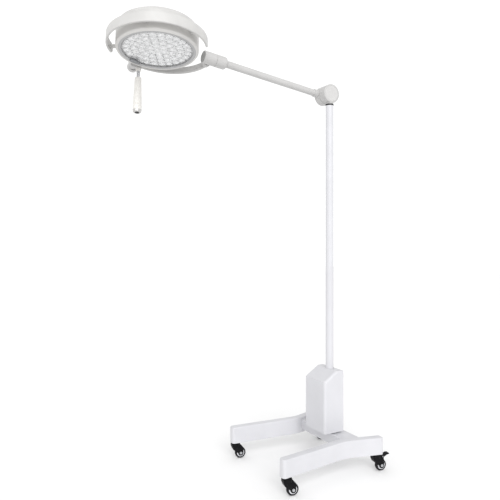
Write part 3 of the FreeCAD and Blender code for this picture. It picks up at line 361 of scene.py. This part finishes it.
def dusty(name, base, dust, roughness, grain, depth):
    """Black plastic or rubber near the floor: grey dust gathers low down and in patches."""
    material, shader = new_material(name, base, roughness)
    shader.inputs["Specular IOR Level"].default_value = 0.12
    nodes, links = material.node_tree.nodes, material.node_tree.links
    place = object_coordinates(material)
    split = nodes.new("ShaderNodeSeparateXYZ")
    links.new(place, split.inputs["Vector"])
    low = spread(material, split.outputs["Z"], 0.0, DUST_REACH, DUST_LOW, DUST_HIGH)
    patchy = noise(material, place, wavelength=0.008, detail=4.0, roughness=0.6)
    patches = spread(material, patchy, *DUST_BAND)
    both = nodes.new("ShaderNodeMath")
    both.operation = "MULTIPLY"
    links.new(low, both.inputs[0])
    links.new(patches, both.inputs[1])
    link(material, mixed(material, both.outputs["Value"], base, dust), shader, "Base Color")
    scuff = noise(material, place, wavelength=0.004, detail=3.0)
    vary_roughness(material, shader, scuff, roughness - 0.08, roughness + 0.1)
    texture = noise(material, place, grain, detail=3.0, roughness=0.6)
    bumped(material, shader, texture, distance=depth, strength=0.7)
    return material


def metal(name, base, roughness, stretch):
    """Metal with fine tool marks, drawn out along the axes where stretch is small."""
    material, shader = new_material(name, base, roughness, 1.0)
    place = object_coordinates(material, stretch)
    marks = noise(material, place, wavelength=0.0009, detail=3.0, roughness=0.6)
    tint = spread(material, marks, *MARK_BAND)
    link(material, mixed(material, tint, shade(base, 0.86), shade(base, 1.08)), shader, "Base Color")
    vary_roughness(material, shader, marks, roughness - 0.06, roughness + 0.1)
    bumped(material, shader, marks, distance=0.00002, strength=0.5)
    return material


def circuit_board(name, base):
    """Solder mask over copper tracks."""
    material, shader = new_material(name, base, 0.42)
    place = object_coordinates(material)
    tracks = material.node_tree.nodes.new("ShaderNodeTexVoronoi")
    tracks.feature = "DISTANCE_TO_EDGE"
    tracks_per_metre = 90.0
    tracks.inputs["Scale"].default_value = tracks_per_metre
    material.node_tree.links.new(place, tracks.inputs["Vector"])
    edge = spread(material, tracks.outputs["Distance"], *TRACK_BAND)
    link(material, mixed(material, edge, shade(base, 0.72), base), shader, "Base Color")
    bumped(material, shader, edge, distance=0.00005, strength=0.5)
    return material


def clear_optic(name, base):
    """Moulded optic over a silvered cup, with slight flow lines."""
    material, shader = new_material(name, base, 0.10, 0.55)
    shader.inputs["Coat Weight"].default_value = 0.6
    shader.inputs["IOR"].default_value = 1.49
    shader.inputs["Specular IOR Level"].default_value = 0.9
    place = object_coordinates(material)
    flow = noise(material, place, wavelength=0.006, detail=3.0)
    link(material, mixed(material, spread(material, flow, *MARK_BAND), shade(base, 0.9), base), shader,
         "Base Color")
    vary_roughness(material, shader, flow, 0.10, 0.26)
    bumped(material, shader, flow, distance=0.0002, strength=0.5)
    return material


def window_sheet(name, base):
    """Thin clear window, seen mostly by its gloss and a faint haze of wiping marks."""
    material, shader = new_material(name, base, 0.06)
    shader.inputs["IOR"].default_value = 1.49
    place = object_coordinates(material, (1.0, 6.0, 1.0))
    wipe = noise(material, place, wavelength=0.03, detail=5.0, roughness=0.65)
    link(material, spread(material, wipe, *WIPE_BAND, 0.05, 0.11), shader, "Alpha")
    vary_roughness(material, shader, wipe, 0.04, 0.12)
    return material


def floor_finish(name, base):
    """Seamless studio floor with a very slight tone."""
    material, shader = new_material(name, base, 0.9)
    shader.inputs["Specular IOR Level"].default_value = 0.1
    cloud = noise(material, object_coordinates(material), wavelength=0.5, detail=2.0)
    tone = spread(material, cloud, *MARK_BAND)
    link(material, mixed(material, tone, shade(base, 0.995), base), shader, "Base Color")
    return material


def studio_sky(name, low, high):
    """A white surround, brighter near the horizon than overhead."""
    world = bpy.data.worlds.new(name)
    world.use_nodes = True
    nodes, links = world.node_tree.nodes, world.node_tree.links
    direction = nodes.new("ShaderNodeTexCoord")
    split = nodes.new("ShaderNodeSeparateXYZ")
    links.new(direction.outputs["Generated"], split.inputs["Vector"])
    height = nodes.new("ShaderNodeMapRange")
    height.interpolation_type = "SMOOTHSTEP"
    for socket, number in zip(("From Min", "From Max", "To Min", "To Max"), (*SKY_BAND, low, high)):
        height.inputs[socket].default_value = number
    links.new(split.outputs["Z"], height.inputs["Value"])
    links.new(height.outputs["Result"], nodes["Background"].inputs["Strength"])
    nodes["Background"].inputs["Color"].default_value = (1.0, 1.0, 1.0, 1.0)
    return world


# ------------------------------------------------------------------ mesh building

def new_piece(name, form, material, body, place=None):
    """Turn a bmesh into a smooth-shaded piece that rides on a body."""
    bmesh.ops.remove_doubles(form, verts=form.verts, dist=SAME_POINT)
    bmesh.ops.recalc_face_normals(form, faces=form.faces)
    for face in form.faces:
        face.smooth = True
    for edge in form.edges:
        if len(edge.link_faces) == 2 and edge.calc_face_angle(0.0) > SHARP_EDGE:
            edge.smooth = False
    mesh = bpy.data.meshes.new(name)
    form.to_mesh(mesh)
    form.free()
    if place is not None:
        mesh.transform(place)
    mesh.materials.append(material)
    piece = bpy.data.objects.new(name, mesh)
    bpy.context.scene.collection.objects.link(piece)
    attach(piece, body)
    return piece


def lathe(form, outline, segments, place=Matrix(), closed=False):
    """Turn an outline of (radius, height) points about Z. A closed outline makes a ring."""
    rows = []
    for radius, height in outline:
        if radius < ON_AXIS:
            rows.append([form.verts.new(place @ Vector((0, 0, height)))] * segments)
            continue
        turns = [2 * math.pi * i / segments for i in range(segments)]
        rows.append([
            form.verts.new(place @ Vector((radius * math.cos(turn), radius * math.sin(turn), height)))
            for turn in turns
        ])
    pairs = list(zip(rows, rows[1:]))
    if closed:
        pairs.append((rows[-1], rows[0]))
    for lower, upper in pairs:
        for i in range(segments):
            j = (i + 1) % segments
            corners = []
            for vertex in (lower[i], lower[j], upper[j], upper[i]):
                if vertex not in corners:
                    corners.append(vertex)
            if len(corners) > 2:
                form.faces.new(corners)


def tube_along(form, points, radius, sides, closed=False):
    """A round tube through a list of points, with its ends closed."""
    rings = []
    count = len(points)
    for index, point in enumerate(points):
        before = points[index - 1] if index or closed else point
        after = points[(index + 1) % count] if index + 1 < count or closed else point
        along = (after - before).normalized()
        side = along.orthogonal().normalized()
        if rings:
            side = (last_side - along * last_side.dot(along)).normalized()
        last_side = side
        up = along.cross(side)
        rings.append([
            form.verts.new(point + side * (radius * math.cos(2 * math.pi * k / sides))
                           + up * (radius * math.sin(2 * math.pi * k / sides)))
            for k in range(sides)
        ])
    pairs = list(zip(rings, rings[1:])) + ([(rings[-1], rings[0])] if closed else [])
    for first, second in pairs:
        for k in range(sides):
            m = (k + 1) % sides
            form.faces.new((first[k], first[m], second[m], second[k]))
    if not closed:
        form.faces.new(list(reversed(rings[0])))
        form.faces.new(rings[-1])


def rounded_block(form, size, place, bevel):
    """A box about its centre with bevelled edges."""
    made = bmesh.ops.create_cube(form, size=1.0, matrix=place @ Matrix.Diagonal((*size, 1.0)))
    edges = list({edge for vertex in made["verts"] for edge in vertex.link_edges})
    bmesh.ops.bevel(form, geom=edges, offset=bevel, segments=3, profile=0.5, affect="EDGES")


def millimetres(outline, base=0.0):
    """An outline in millimetres, as metres, with its heights counted from a base."""
    return [(radius * MM, base + height * MM) for radius, height in outline]


def shares_of(outline, radius, base=0.0):
    """An outline of shares of a radius and heights in millimetres, as metres from a base."""
    return [(share * radius, base + height * MM) for share, height in outline]


def moved(x, y, z=0.0):
    return Matrix.Translation(Vector((x, y, z)))


FACE_DOWN = Matrix.Rotation(math.pi, 4, "X")
ALONG_Y = Matrix.Rotation(-math.pi / 2, 4, "X")


def settings():
    return bpy.context.scene.examination_lamp


def finish_nodes(material, *names):
    """Give a material to CAD nodes through their slots."""
    for name in names:
        for slot in frame["nodes"][name].material_slots:
            slot.material = material


def shared(name):
    """A material made by the finishes operator."""
    return bpy.data.materials[name]


# ------------------------------------------------------------------ operators

class LAMP_OT_finishes(bpy.types.Operator):
    """Make every finish and give it to the CAD nodes"""
    bl_idname = "lamp.finishes"
    bl_label = "Finishes"

    def execute(self, context):
        paint, hardware, optics = settings().paint, settings().hardware, settings().optics
        base = powder_coat("base_coat", paint.base, paint.orange_peel)
        arm = powder_coat("arm_coat", paint.arm, paint.orange_peel)
        head = moulded("head_polymer", paint.head, roughness=0.38, grain=0.0009)
        black = dusty("black_nylon", hardware.black, hardware.dust,
                      roughness=0.45, grain=0.0007, depth=0.00004)
        tread = dusty("tread_rubber", hardware.tread, hardware.dust,
                      roughness=0.62, grain=0.0005, depth=0.00005)
        nylon = moulded("wheel_nylon", hardware.nylon, roughness=0.42)
        zinc = metal("zinc_plate", hardware.zinc, roughness=0.30, stretch=(1.0, 1.0, 1.0))
        finish_nodes(base, "leg_left", "leg_right", "leg_plates", "crossbar", "pole_flange", "pole",
                     "box_cover", "box_back")
        finish_nodes(arm, "pole_head", "arm_hub", "arm_tube", "arm_collar", "yoke_knuckle", "yoke",
                     "pivot_block")
        finish_nodes(head, "head_cover", "hand_rail", "rail_posts")
        # The shell is the head's polymer painted lighter: painted light against the shade under the hand
        # rail.
        finish_nodes(moulded("shell_polymer_painted_light", paint.shell, roughness=0.38, grain=0.0009), "head_shell")
        # Caps: the arm's colour painted lighter, a painted highlight for the lit end face of the drum.
        cap = moulded("cap_polymer_painted_light", shade(paint.arm, CAP_PAINTED_LIGHT), roughness=0.34)
        finish_nodes(cap, "drum_cap", "boss_cap")
        finish_nodes(moulded("bezel_polymer", paint.bezel, roughness=0.34), "bezel")
        grip = moulded("grip_polymer", paint.grip, roughness=0.36, grain=0.0012)
        finish_nodes(grip, "handle_grip", "handle_cap")
        finish_nodes(moulded("keypad_film", paint.keypad, roughness=0.30), "keypad")
        ring = moulded("ring_nylon", hardware.black, roughness=0.40)
        finish_nodes(ring, "pole_bushing", "handle_button", "mains_inlet")
        finish_nodes(moulded("friction_fibre", hardware.fibre, roughness=0.8), "friction_washer")
        finish_nodes(circuit_board("board_mask", optics.board), "led_board")
        finish_nodes(window_sheet("window_clear", optics.window), "window")
        supply = metal("supply_sheet", hardware.aluminium, roughness=0.35, stretch=(0.1, 1.0, 1.0))
        finish_nodes(supply, "power_supply")
        sink = metal("sink_aluminium", hardware.aluminium, roughness=0.40, stretch=(0.05, 1.0, 1.0))
        finish_nodes(sink, "heat_sink")
        shaft = metal("polished_steel", hardware.polished, roughness=0.16, stretch=(1.0, 1.0, 12.0))
        finish_nodes(shaft, "handle_shaft")
        turned = metal("turned_end", hardware.turned, roughness=0.42, stretch=(0.3, 0.3, 12.0))
        finish_nodes(turned, "handle_end")
        nickel = metal("nickel_pin", hardware.nickel, roughness=0.25, stretch=(1.0, 0.2, 1.0))
        finish_nodes(nickel, "bonding_pin")
        finish_nodes(black, "castor_stems")
        finish_nodes(zinc, "cover_screws", "swivel_spindle", "tilt_bolt", "pivot_pin")
        for corner in CORNERS:
            finish_nodes(black, "castor_fork_" + corner)
            finish_nodes(zinc, "castor_axle_" + corner)
            finish_nodes(nylon, "wheel_core_" + corner)
            finish_nodes(tread, "wheel_tyre_" + corner)
            if corner.endswith("rear"):
                finish_nodes(black, "brake_pedal_" + corner)
        # Dark grey finish of the knuckle plug: painted shade for the knuckle's shaded end face.
        moulded("knuckle_shade_plug", paint.plug, roughness=0.45)
        return {"FINISHED"}


def lens_places(optics):
    """A centre lens and its rings, as places in the plane of the window."""
    places = [(0.0, 0.0)]
    for ring in range(1, optics.rings + 1):
        count = 6 * ring
        half_step = 0.5 * (ring % 2)
        for index in range(count):
            angle = 2 * math.pi * (index + half_step) / count
            places.append((ring * optics.pitch * math.cos(angle), ring * optics.pitch * math.sin(angle)))
    return places


# Outline of a lens: radii as shares of its radius, heights in millimetres behind its front.
LENS_DOME_SHARES = (0.12, 0.24, 0.34)
LENS_DOME_SUNK, LENS_DOME_CURVE = 0.6, 1.6
LENS_RIBS, LENS_FIRST_RIB, LENS_RIB_PITCH = 4, 0.38, 0.13
LENS_RIB = ((0.0, 2.6), (0.055, 1.0), (0.10, 0.9))
LENS_LIP = ((0.92, 0.4), (0.97, 0.0), (1.0, 0.5), (1.0, 2.2), (0.93, 3.0))
LENS_BODY_STEPS, LENS_BODY_TAPER, LENS_TIP = 4, 0.43, 0.4


class LAMP_OT_lenses(bpy.types.Operator):
    """Moulded lenses: a domed centre, ribbed collar and stepped body in front of each LED"""
    bl_idname = "lamp.lenses"
    bl_label = "Lenses"

    def execute(self, context):
        optics = settings().optics
        heights = [point.z for point in points_in(HEAD, "lens_array")]
        low, depth = min(heights), (max(heights) - min(heights)) / MM
        shares = [(0.0, LENS_DOME_SUNK)]
        shares += [(share, LENS_DOME_SUNK + LENS_DOME_CURVE * share * share) for share in LENS_DOME_SHARES]
        for rib in range(LENS_RIBS):
            shares += [(LENS_FIRST_RIB + LENS_RIB_PITCH * rib + share, height) for share, height in LENS_RIB]
        shares += LENS_LIP
        lip_share, lip_height = LENS_LIP[-1]
        for step in range(1, LENS_BODY_STEPS + 1):
            part = step / LENS_BODY_STEPS
            height = lip_height + (depth - lip_height - LENS_TIP) * part
            shares.append((lip_share - LENS_BODY_TAPER * part, height))
        shares.append((0.0, depth - LENS_TIP))
        form = bmesh.new()
        for x, y in lens_places(optics):
            lathe(form, shares_of(shares, optics.radius, low), segments=28, place=moved(x, y))
        clear = clear_optic("lens_clear", optics.lens)
        piece = new_piece("lens_optics", form, clear, "head", HEAD)
        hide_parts("lens_array")
        return {"FINISHED"}


HOLDER_THICKNESS = 1.2 * MM
CLIPS_PER_LENS, CLIP_REACH = 6, 0.56
CLIP_OUTLINE = ((1.5, 0.0), (1.5, -1.2), (0.9, -1.6), (0.0, -1.6))


class LAMP_OT_lens_holder(bpy.types.Operator):
    """White plate that holds the lenses by their rims and closes the space round them"""
    bl_idname = "lamp.lens_holder"
    bl_label = "Lens holder"

    def execute(self, context):
        optics = settings().optics
        back = min(point.z for point in points_in(HEAD, "lens_array")) + optics.holder_depth
        rear = back + HOLDER_THICKNESS
        plate = bmesh.new()
        edge = optics.holder_radius
        lathe(plate, [(0.0, back), (edge, back), (edge, rear), (0.0, rear)], segments=96)
        posts = bmesh.new()
        reach = optics.pitch * CLIP_REACH
        for x, y in lens_places(optics):
            for index in range(CLIPS_PER_LENS):
                angle = 2 * math.pi * (index + 0.5) / CLIPS_PER_LENS
                at = moved(x + reach * math.cos(angle), y + reach * math.sin(angle))
                lathe(posts, millimetres(CLIP_OUTLINE, back), segments=10, place=at)
        holder = moulded("holder_polymer", optics.holder, roughness=0.35)
        new_piece("lens_holder", plate, holder, "head", HEAD)
        clips = moulded("clip_polymer", optics.clip, roughness=0.4)
        new_piece("lens_clips", posts, clips, "head", HEAD)
        return {"FINISHED"}


CHIP_HEIGHT = 0.8 * MM
CHIP_BEVEL = 0.15 * MM
PHOSPHOR_RADIUS = 1.7 * MM
PHOSPHOR_HEIGHT = 1.0 * MM
PHOSPHOR_ANGLES = (0.0, 0.35, 0.7, 1.05, math.pi / 2)


class LAMP_OT_leds(bpy.types.Operator):
    """LED chips: a ceramic square with a phosphor dome under each lens"""
    bl_idname = "lamp.leds"
    bl_label = "LED chips"

    def execute(self, context):
        optics = settings().optics
        board = min(point.z for point in points_in(HEAD, "led_board"))
        top = board - CHIP_HEIGHT
        outline = [(PHOSPHOR_RADIUS * math.cos(angle), top - PHOSPHOR_HEIGHT * math.sin(angle))
                   for angle in PHOSPHOR_ANGLES]
        bases, domes = bmesh.new(), bmesh.new()
        for x, y in lens_places(optics):
            chip = (optics.chip, optics.chip, CHIP_HEIGHT)
            rounded_block(bases, chip, moved(x, y, board - CHIP_HEIGHT / 2), CHIP_BEVEL)
            lathe(domes, outline, segments=14, place=moved(x, y))
        ceramic = moulded("led_ceramic", optics.ceramic, roughness=0.4)
        new_piece("led_bases", bases, ceramic, "head", HEAD)
        phosphor = moulded("led_phosphor", optics.phosphor, roughness=0.3)
        new_piece("led_domes", domes, phosphor, "head", HEAD)
        return {"FINISHED"}


KEY_SPACING, LIGHT_SPACING = 14 * MM, 4.5 * MM
KEY_SHARES = (1.0, 0.95, 0.85, 0.6, 0.3)
KEY_HEIGHT, KEY_ROOT = 0.5 * MM, 0.2 * MM
LIGHT_OUTLINE = ((0.9, 0.2), (0.9, -0.1), (0.5, -0.35), (0.0, -0.4))


class LAMP_OT_keypad(bpy.types.Operator):
    """Keys of the keypad: two round domes with three indicator lights between them"""
    bl_idname = "lamp.keypad"
    bl_label = "Keypad"

    def execute(self, context):
        radius = settings().trim.key
        corners = points_in(HEAD, "keypad")
        low = min(corner.z for corner in corners)
        centre = sum(corners, Vector()) / len(corners)
        across = Vector((centre.x, centre.y, 0)).normalized()
        along = Vector((-across.y, across.x, 0))
        key_outline = [(radius, low + KEY_ROOT)]
        key_outline += [(radius * share, low - KEY_HEIGHT * (1 - share ** 4)) for share in KEY_SHARES]
        key_outline.append((0.0, low - KEY_HEIGHT))
        keys, lights = bmesh.new(), bmesh.new()
        for step in (-1, 1):
            at = centre + along * (step * KEY_SPACING)
            lathe(keys, key_outline, segments=28, place=moved(at.x, at.y))
        for step in (-1, 0, 1):
            at = centre + along * (step * LIGHT_SPACING)
            lathe(lights, millimetres(LIGHT_OUTLINE, low), segments=16, place=moved(at.x, at.y))
        cap = moulded("key_cap", settings().paint.key, roughness=0.35)
        new_piece("keypad_keys", keys, cap, "head", HEAD)
        pipe = moulded("light_pipe", settings().optics.light_pipe, roughness=0.2)
        new_piece("keypad_lights", lights, pipe, "head", HEAD)
        return {"FINISHED"}


# Outlines in millimetres: the race counts from the axis and the stem's seat,
# the ring counts across its own middle and out of the wheel's face.
RACE_OUTLINE = ((15.5, 0.2), (17.6, 0.2), (18.2, 0.9), (17.6, 1.6), (15.5, 1.6))
WHEEL_RING = ((-0.7, -0.2), (-0.4, 0.4), (0.4, 0.4), (0.7, -0.2))


class LAMP_OT_castor_trim(bpy.types.Operator):
    """Swivel race rings, and raised rings on both faces of the wheels of the four castors"""
    bl_idname = "lamp.castor_trim"
    bl_label = "Castor trim"

    def execute(self, context):
        trim = settings().trim
        seat = joint_point("castor_swivel_left_front").z
        for corner in CORNERS:
            place = CASTORS[corner]
            race = bmesh.new()
            lathe(race, millimetres(RACE_OUTLINE, seat), segments=48, closed=True)
            new_piece("swivel_race_" + corner, race, shared("black_nylon"), "castor_" + corner,
                      place)
            rings = bmesh.new()
            for radius, sunk in ((trim.wheel_rim, 0.0), (trim.wheel_web, trim.wheel_dish)):
                for side in (-1, 1):
                    face = side * (trim.wheel_width / 2 - sunk)
                    outline = [(radius + across * MM, face + side * out * MM) for across, out in WHEEL_RING]
                    lathe(rings, outline, segments=40, closed=True)
            hub = place @ moved(TRAIL, 0, WHEEL_HEIGHT) @ ALONG_Y
            new_piece("wheel_rings_" + corner, rings, shared("wheel_nylon"), "wheel_" + corner,
                      hub)
        return {"FINISHED"}


RIDGES = 4
RIDGE_FIRST, RIDGE_PITCH = 49.5 * MM, 2.6 * MM
RIDGE_SIZE = (1.1 * MM, 16 * MM, 0.9 * MM)
RIDGE_SUNK, RIDGE_BEVEL = 0.05 * MM, 0.3 * MM


class LAMP_OT_pedal_ridges(bpy.types.Operator):
    """Grip ridges across the paddles of the brake pedals"""
    bl_idname = "lamp.pedal_ridges"
    bl_label = "Pedal ridges"

    def execute(self, context):
        for corner in CORNERS[2:]:
            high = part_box("brake_pedal_" + corner)[1]
            form = bmesh.new()
            for index in range(RIDGES):
                at = moved(RIDGE_FIRST + RIDGE_PITCH * index, 0, high.z - RIDGE_SUNK)
                rounded_block(form, RIDGE_SIZE, at, RIDGE_BEVEL)
            new_piece("pedal_ridges_" + corner, form, shared("black_nylon"), "brake_" + corner,
                      CASTORS[corner])
        return {"FINISHED"}


PLUG_OUTLINE = ((22.6, -0.4), (22.6, 0.5), (21.9, 1.0), (9.0, 1.3), (8.4, 0.9), (0.0, 0.9))


class LAMP_OT_knuckle_shade_plug(bpy.types.Operator):
    """Grey plug that closes the open end of the knuckle; its dark grey is painted shade for the knuckle's
    shaded end face
    """
    bl_idname = "lamp.knuckle_plug"
    bl_label = "Knuckle plug"

    def execute(self, context):
        tip = min(point.y for point in points_in(ARM, "yoke_knuckle"))
        form = bmesh.new()
        lathe(form, millimetres(PLUG_OUTLINE), segments=64)
        place = ARM @ moved(0, tip, 0) @ Matrix.Rotation(math.pi / 2, 4, "X")
        new_piece("knuckle_shade_plug", form, shared("knuckle_shade_plug"), "yoke", place)
        return {"FINISHED"}


# Distance along the arm from the drum, and of the surface below the arm's axis.
SCREW_PLACES = ((-54.0 * MM, 18.0 * MM), (-538.0 * MM, 26.0 * MM))
# Outlines of a set screw: radii as shares of its radius, heights in millimetres.
SCREW_RIM = ((1.25, -0.6), (1.2, 0.25), (1.0, 0.35), (0.95, -0.3))
SCREW_FACE = ((0.95, -0.3), (0.62, -0.3))
SCREW_SOCKET = ((0.62, -0.3), (0.6, -1.6), (0.0, -1.6))


class LAMP_OT_set_screws(bpy.types.Operator):
    """Hexagon socket set screws that lock the arm's tube in its hub and collar"""
    bl_idname = "lamp.set_screws"
    bl_label = "Set screws"

    def execute(self, context):
        radius = settings().trim.set_screw
        form = bmesh.new()
        for distance, surface in SCREW_PLACES:
            outward = ARM @ moved(0, distance, -surface) @ FACE_DOWN
            for outline, sides in ((SCREW_RIM, 28), (SCREW_FACE, 28), (SCREW_SOCKET, 6)):
                lathe(form, shares_of(outline, radius), segments=sides, place=outward)
        new_piece("set_screws", form, shared("zinc_plate"), "arm")
        return {"FINISHED"}


# A seal: how far its centre lies inside the edge, how far behind it, and its radius.
SEAM_SEAL = (0.5 * MM, 0.2 * MM, 0.75 * MM)
WINDOW_SEAL = (0.4 * MM, -0.1 * MM, 0.8 * MM)
SEAL_SEGMENTS = 160


class LAMP_OT_head_seal(bpy.types.Operator):
    """Soft seal in the joint between the head's shell and cover, and a bead round the window"""
    bl_idname = "lamp.head_seal"
    bl_label = "Head seals"

    def execute(self, context):
        shell, window = points_in(HEAD, "head_shell"), points_in(HEAD, "window")
        form = bmesh.new()
        turns = [2 * math.pi * index / SEAL_SEGMENTS for index in range(SEAL_SEGMENTS)]
        circle = [Vector((math.cos(turn), math.sin(turn), 0)) for turn in turns]
        for points, level, seal in ((shell, max(p.z for p in shell), SEAM_SEAL),
                                    (window, min(p.z for p in window), WINDOW_SEAL)):
            inset, rise, thickness = seal
            reach = max(point.xy.length for point in points) - inset
            ring = [HEAD @ (outward * reach + Vector((0, 0, level + rise))) for outward in circle]
            tube_along(form, ring, thickness, sides=8, closed=True)
        rubber = moulded("seal_rubber", settings().paint.seal, roughness=0.6)
        new_piece("head_seals", form, rubber, "head")
        return {"FINISHED"}


BAR_END = 120 * MM
BAR_TOP_BAND, BAR_CORNER_REACH = 6 * MM, 9 * MM
BEAD_STEPS, BEAD_RIPPLE_TURN = 36, 2.4
BEAD_RISE, BEAD_RIPPLE = 0.2 * MM, 0.6 * MM


class LAMP_OT_weld_beads(bpy.types.Operator):
    """Painted weld beads where the top of the crossbar meets the legs"""
    bl_idname = "lamp.weld_beads"
    bl_label = "Weld beads"

    def execute(self, context):
        radius = settings().trim.bead
        form = bmesh.new()
        low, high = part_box("crossbar")
        for side in (-1, 1):
            edge = [v.co for v in frame["nodes"]["crossbar"].data.vertices
                    if v.co.x * side > BAR_END and v.co.z > high.z - BAR_TOP_BAND]
            edge.sort(key=lambda point: point.y)
            ends = [max((p for p in edge if abs(p.y - y) < BAR_CORNER_REACH), key=lambda p: p.x * side)
                    for y in (low.y, high.y)]
            points = []
            for step in range(BEAD_STEPS + 1):
                point = ends[0].lerp(ends[1], step / BEAD_STEPS)
                point.z = high.z + BEAD_RISE
                point.x -= side * BEAD_RIPPLE * (1 + math.cos(step * BEAD_RIPPLE_TURN)) / 2
                points.append(point)
            tube_along(form, points, radius, sides=8)
        new_piece("weld_beads", form, shared("base_coat"), "base")
        return {"FINISHED"}


class LAMP_OT_stage(bpy.types.Operator):
    """Pale floor, soft light and the camera"""
    bl_idname = "lamp.stage"
    bl_label = "Stage"

    def execute(self, context):
        stage = settings().stage
        scene = context.scene
        form = bmesh.new()
        bmesh.ops.create_grid(form, x_segments=1, y_segments=1, size=stage.floor_reach)
        mesh = bpy.data.meshes.new("floor")
        form.to_mesh(mesh)
        form.free()
        mesh.materials.append(floor_finish("studio_floor", stage.floor))
        floor = bpy.data.objects.new("floor", mesh)
        scene.collection.objects.link(floor)
        scene.world = studio_sky("studio", stage.low_sky, stage.high_sky)

        sun = bpy.data.lights.new("key_light", "SUN")
        sun.energy = stage.key_light
        sun.angle = stage.key_spread
        light = bpy.data.objects.new("key_light", sun)
        light.rotation_euler = (-KEY_FROM).to_track_quat("-Z", "Y").to_euler()
        scene.collection.objects.link(light)

        lens = bpy.data.cameras.new("camera")
        lens.lens = stage.lens_mm
        lens.sensor_width = SENSOR_WIDTH
        lens.shift_y = CAMERA_SHIFT
        camera = bpy.data.objects.new("camera", lens)
        camera.location = (*CAMERA_PLACE, stage.camera_height)
        camera.rotation_euler = (math.pi / 2, 0.0, CAMERA_TURN)
        scene.collection.objects.link(camera)
        scene.camera = camera
        scene.view_settings.view_transform = "Standard"
        return {"FINISHED"}


class LAMP_PT_sidebar(bpy.types.Panel):
    """Lists the lamp's settings and operators"""
    bl_idname = "LAMP_PT_sidebar"
    bl_label = "Examination Lamp"
    bl_space_type = "VIEW_3D"
    bl_region_type = "UI"
    bl_category = "Lamp"

    def draw(self, context):
        lamp = context.scene.examination_lamp
        for group in (lamp.paint, lamp.hardware, lamp.optics, lamp.trim, lamp.stage):
            box = self.layout.box()
            for name in group.bl_rna.properties.keys():
                if name not in ("rna_type", "name"):
                    box.prop(group, name)
        for operator in OPERATORS:
            self.layout.operator(operator.bl_idname)


OPERATORS = (
    LAMP_OT_finishes, LAMP_OT_stage, LAMP_OT_lenses, LAMP_OT_lens_holder, LAMP_OT_leds, LAMP_OT_keypad,
    LAMP_OT_head_seal, LAMP_OT_knuckle_shade_plug, LAMP_OT_set_screws, LAMP_OT_castor_trim, LAMP_OT_pedal_ridges,
    LAMP_OT_weld_beads,
)
GROUPS = (
    LampPaintSettings, LampHardwareSettings, LampOpticsSettings, LampTrimSettings, LampStageSettings,
    LampSettings,
)


def register():
    for item in GROUPS + OPERATORS + (LAMP_PT_sidebar,):
        bpy.utils.register_class(item)
    bpy.types.Scene.examination_lamp = PointerProperty(type=LampSettings)


def unregister():
    del bpy.types.Scene.examination_lamp
    for item in reversed(GROUPS + OPERATORS + (LAMP_PT_sidebar,)):
        bpy.utils.unregister_class(item)


def main():
    """Build the lamp's looks."""
    register()
    for operator in OPERATORS:
        group, name = operator.bl_idname.split(".")
        getattr(getattr(bpy.ops, group), name)()


if __name__ == "__main__":
    main()
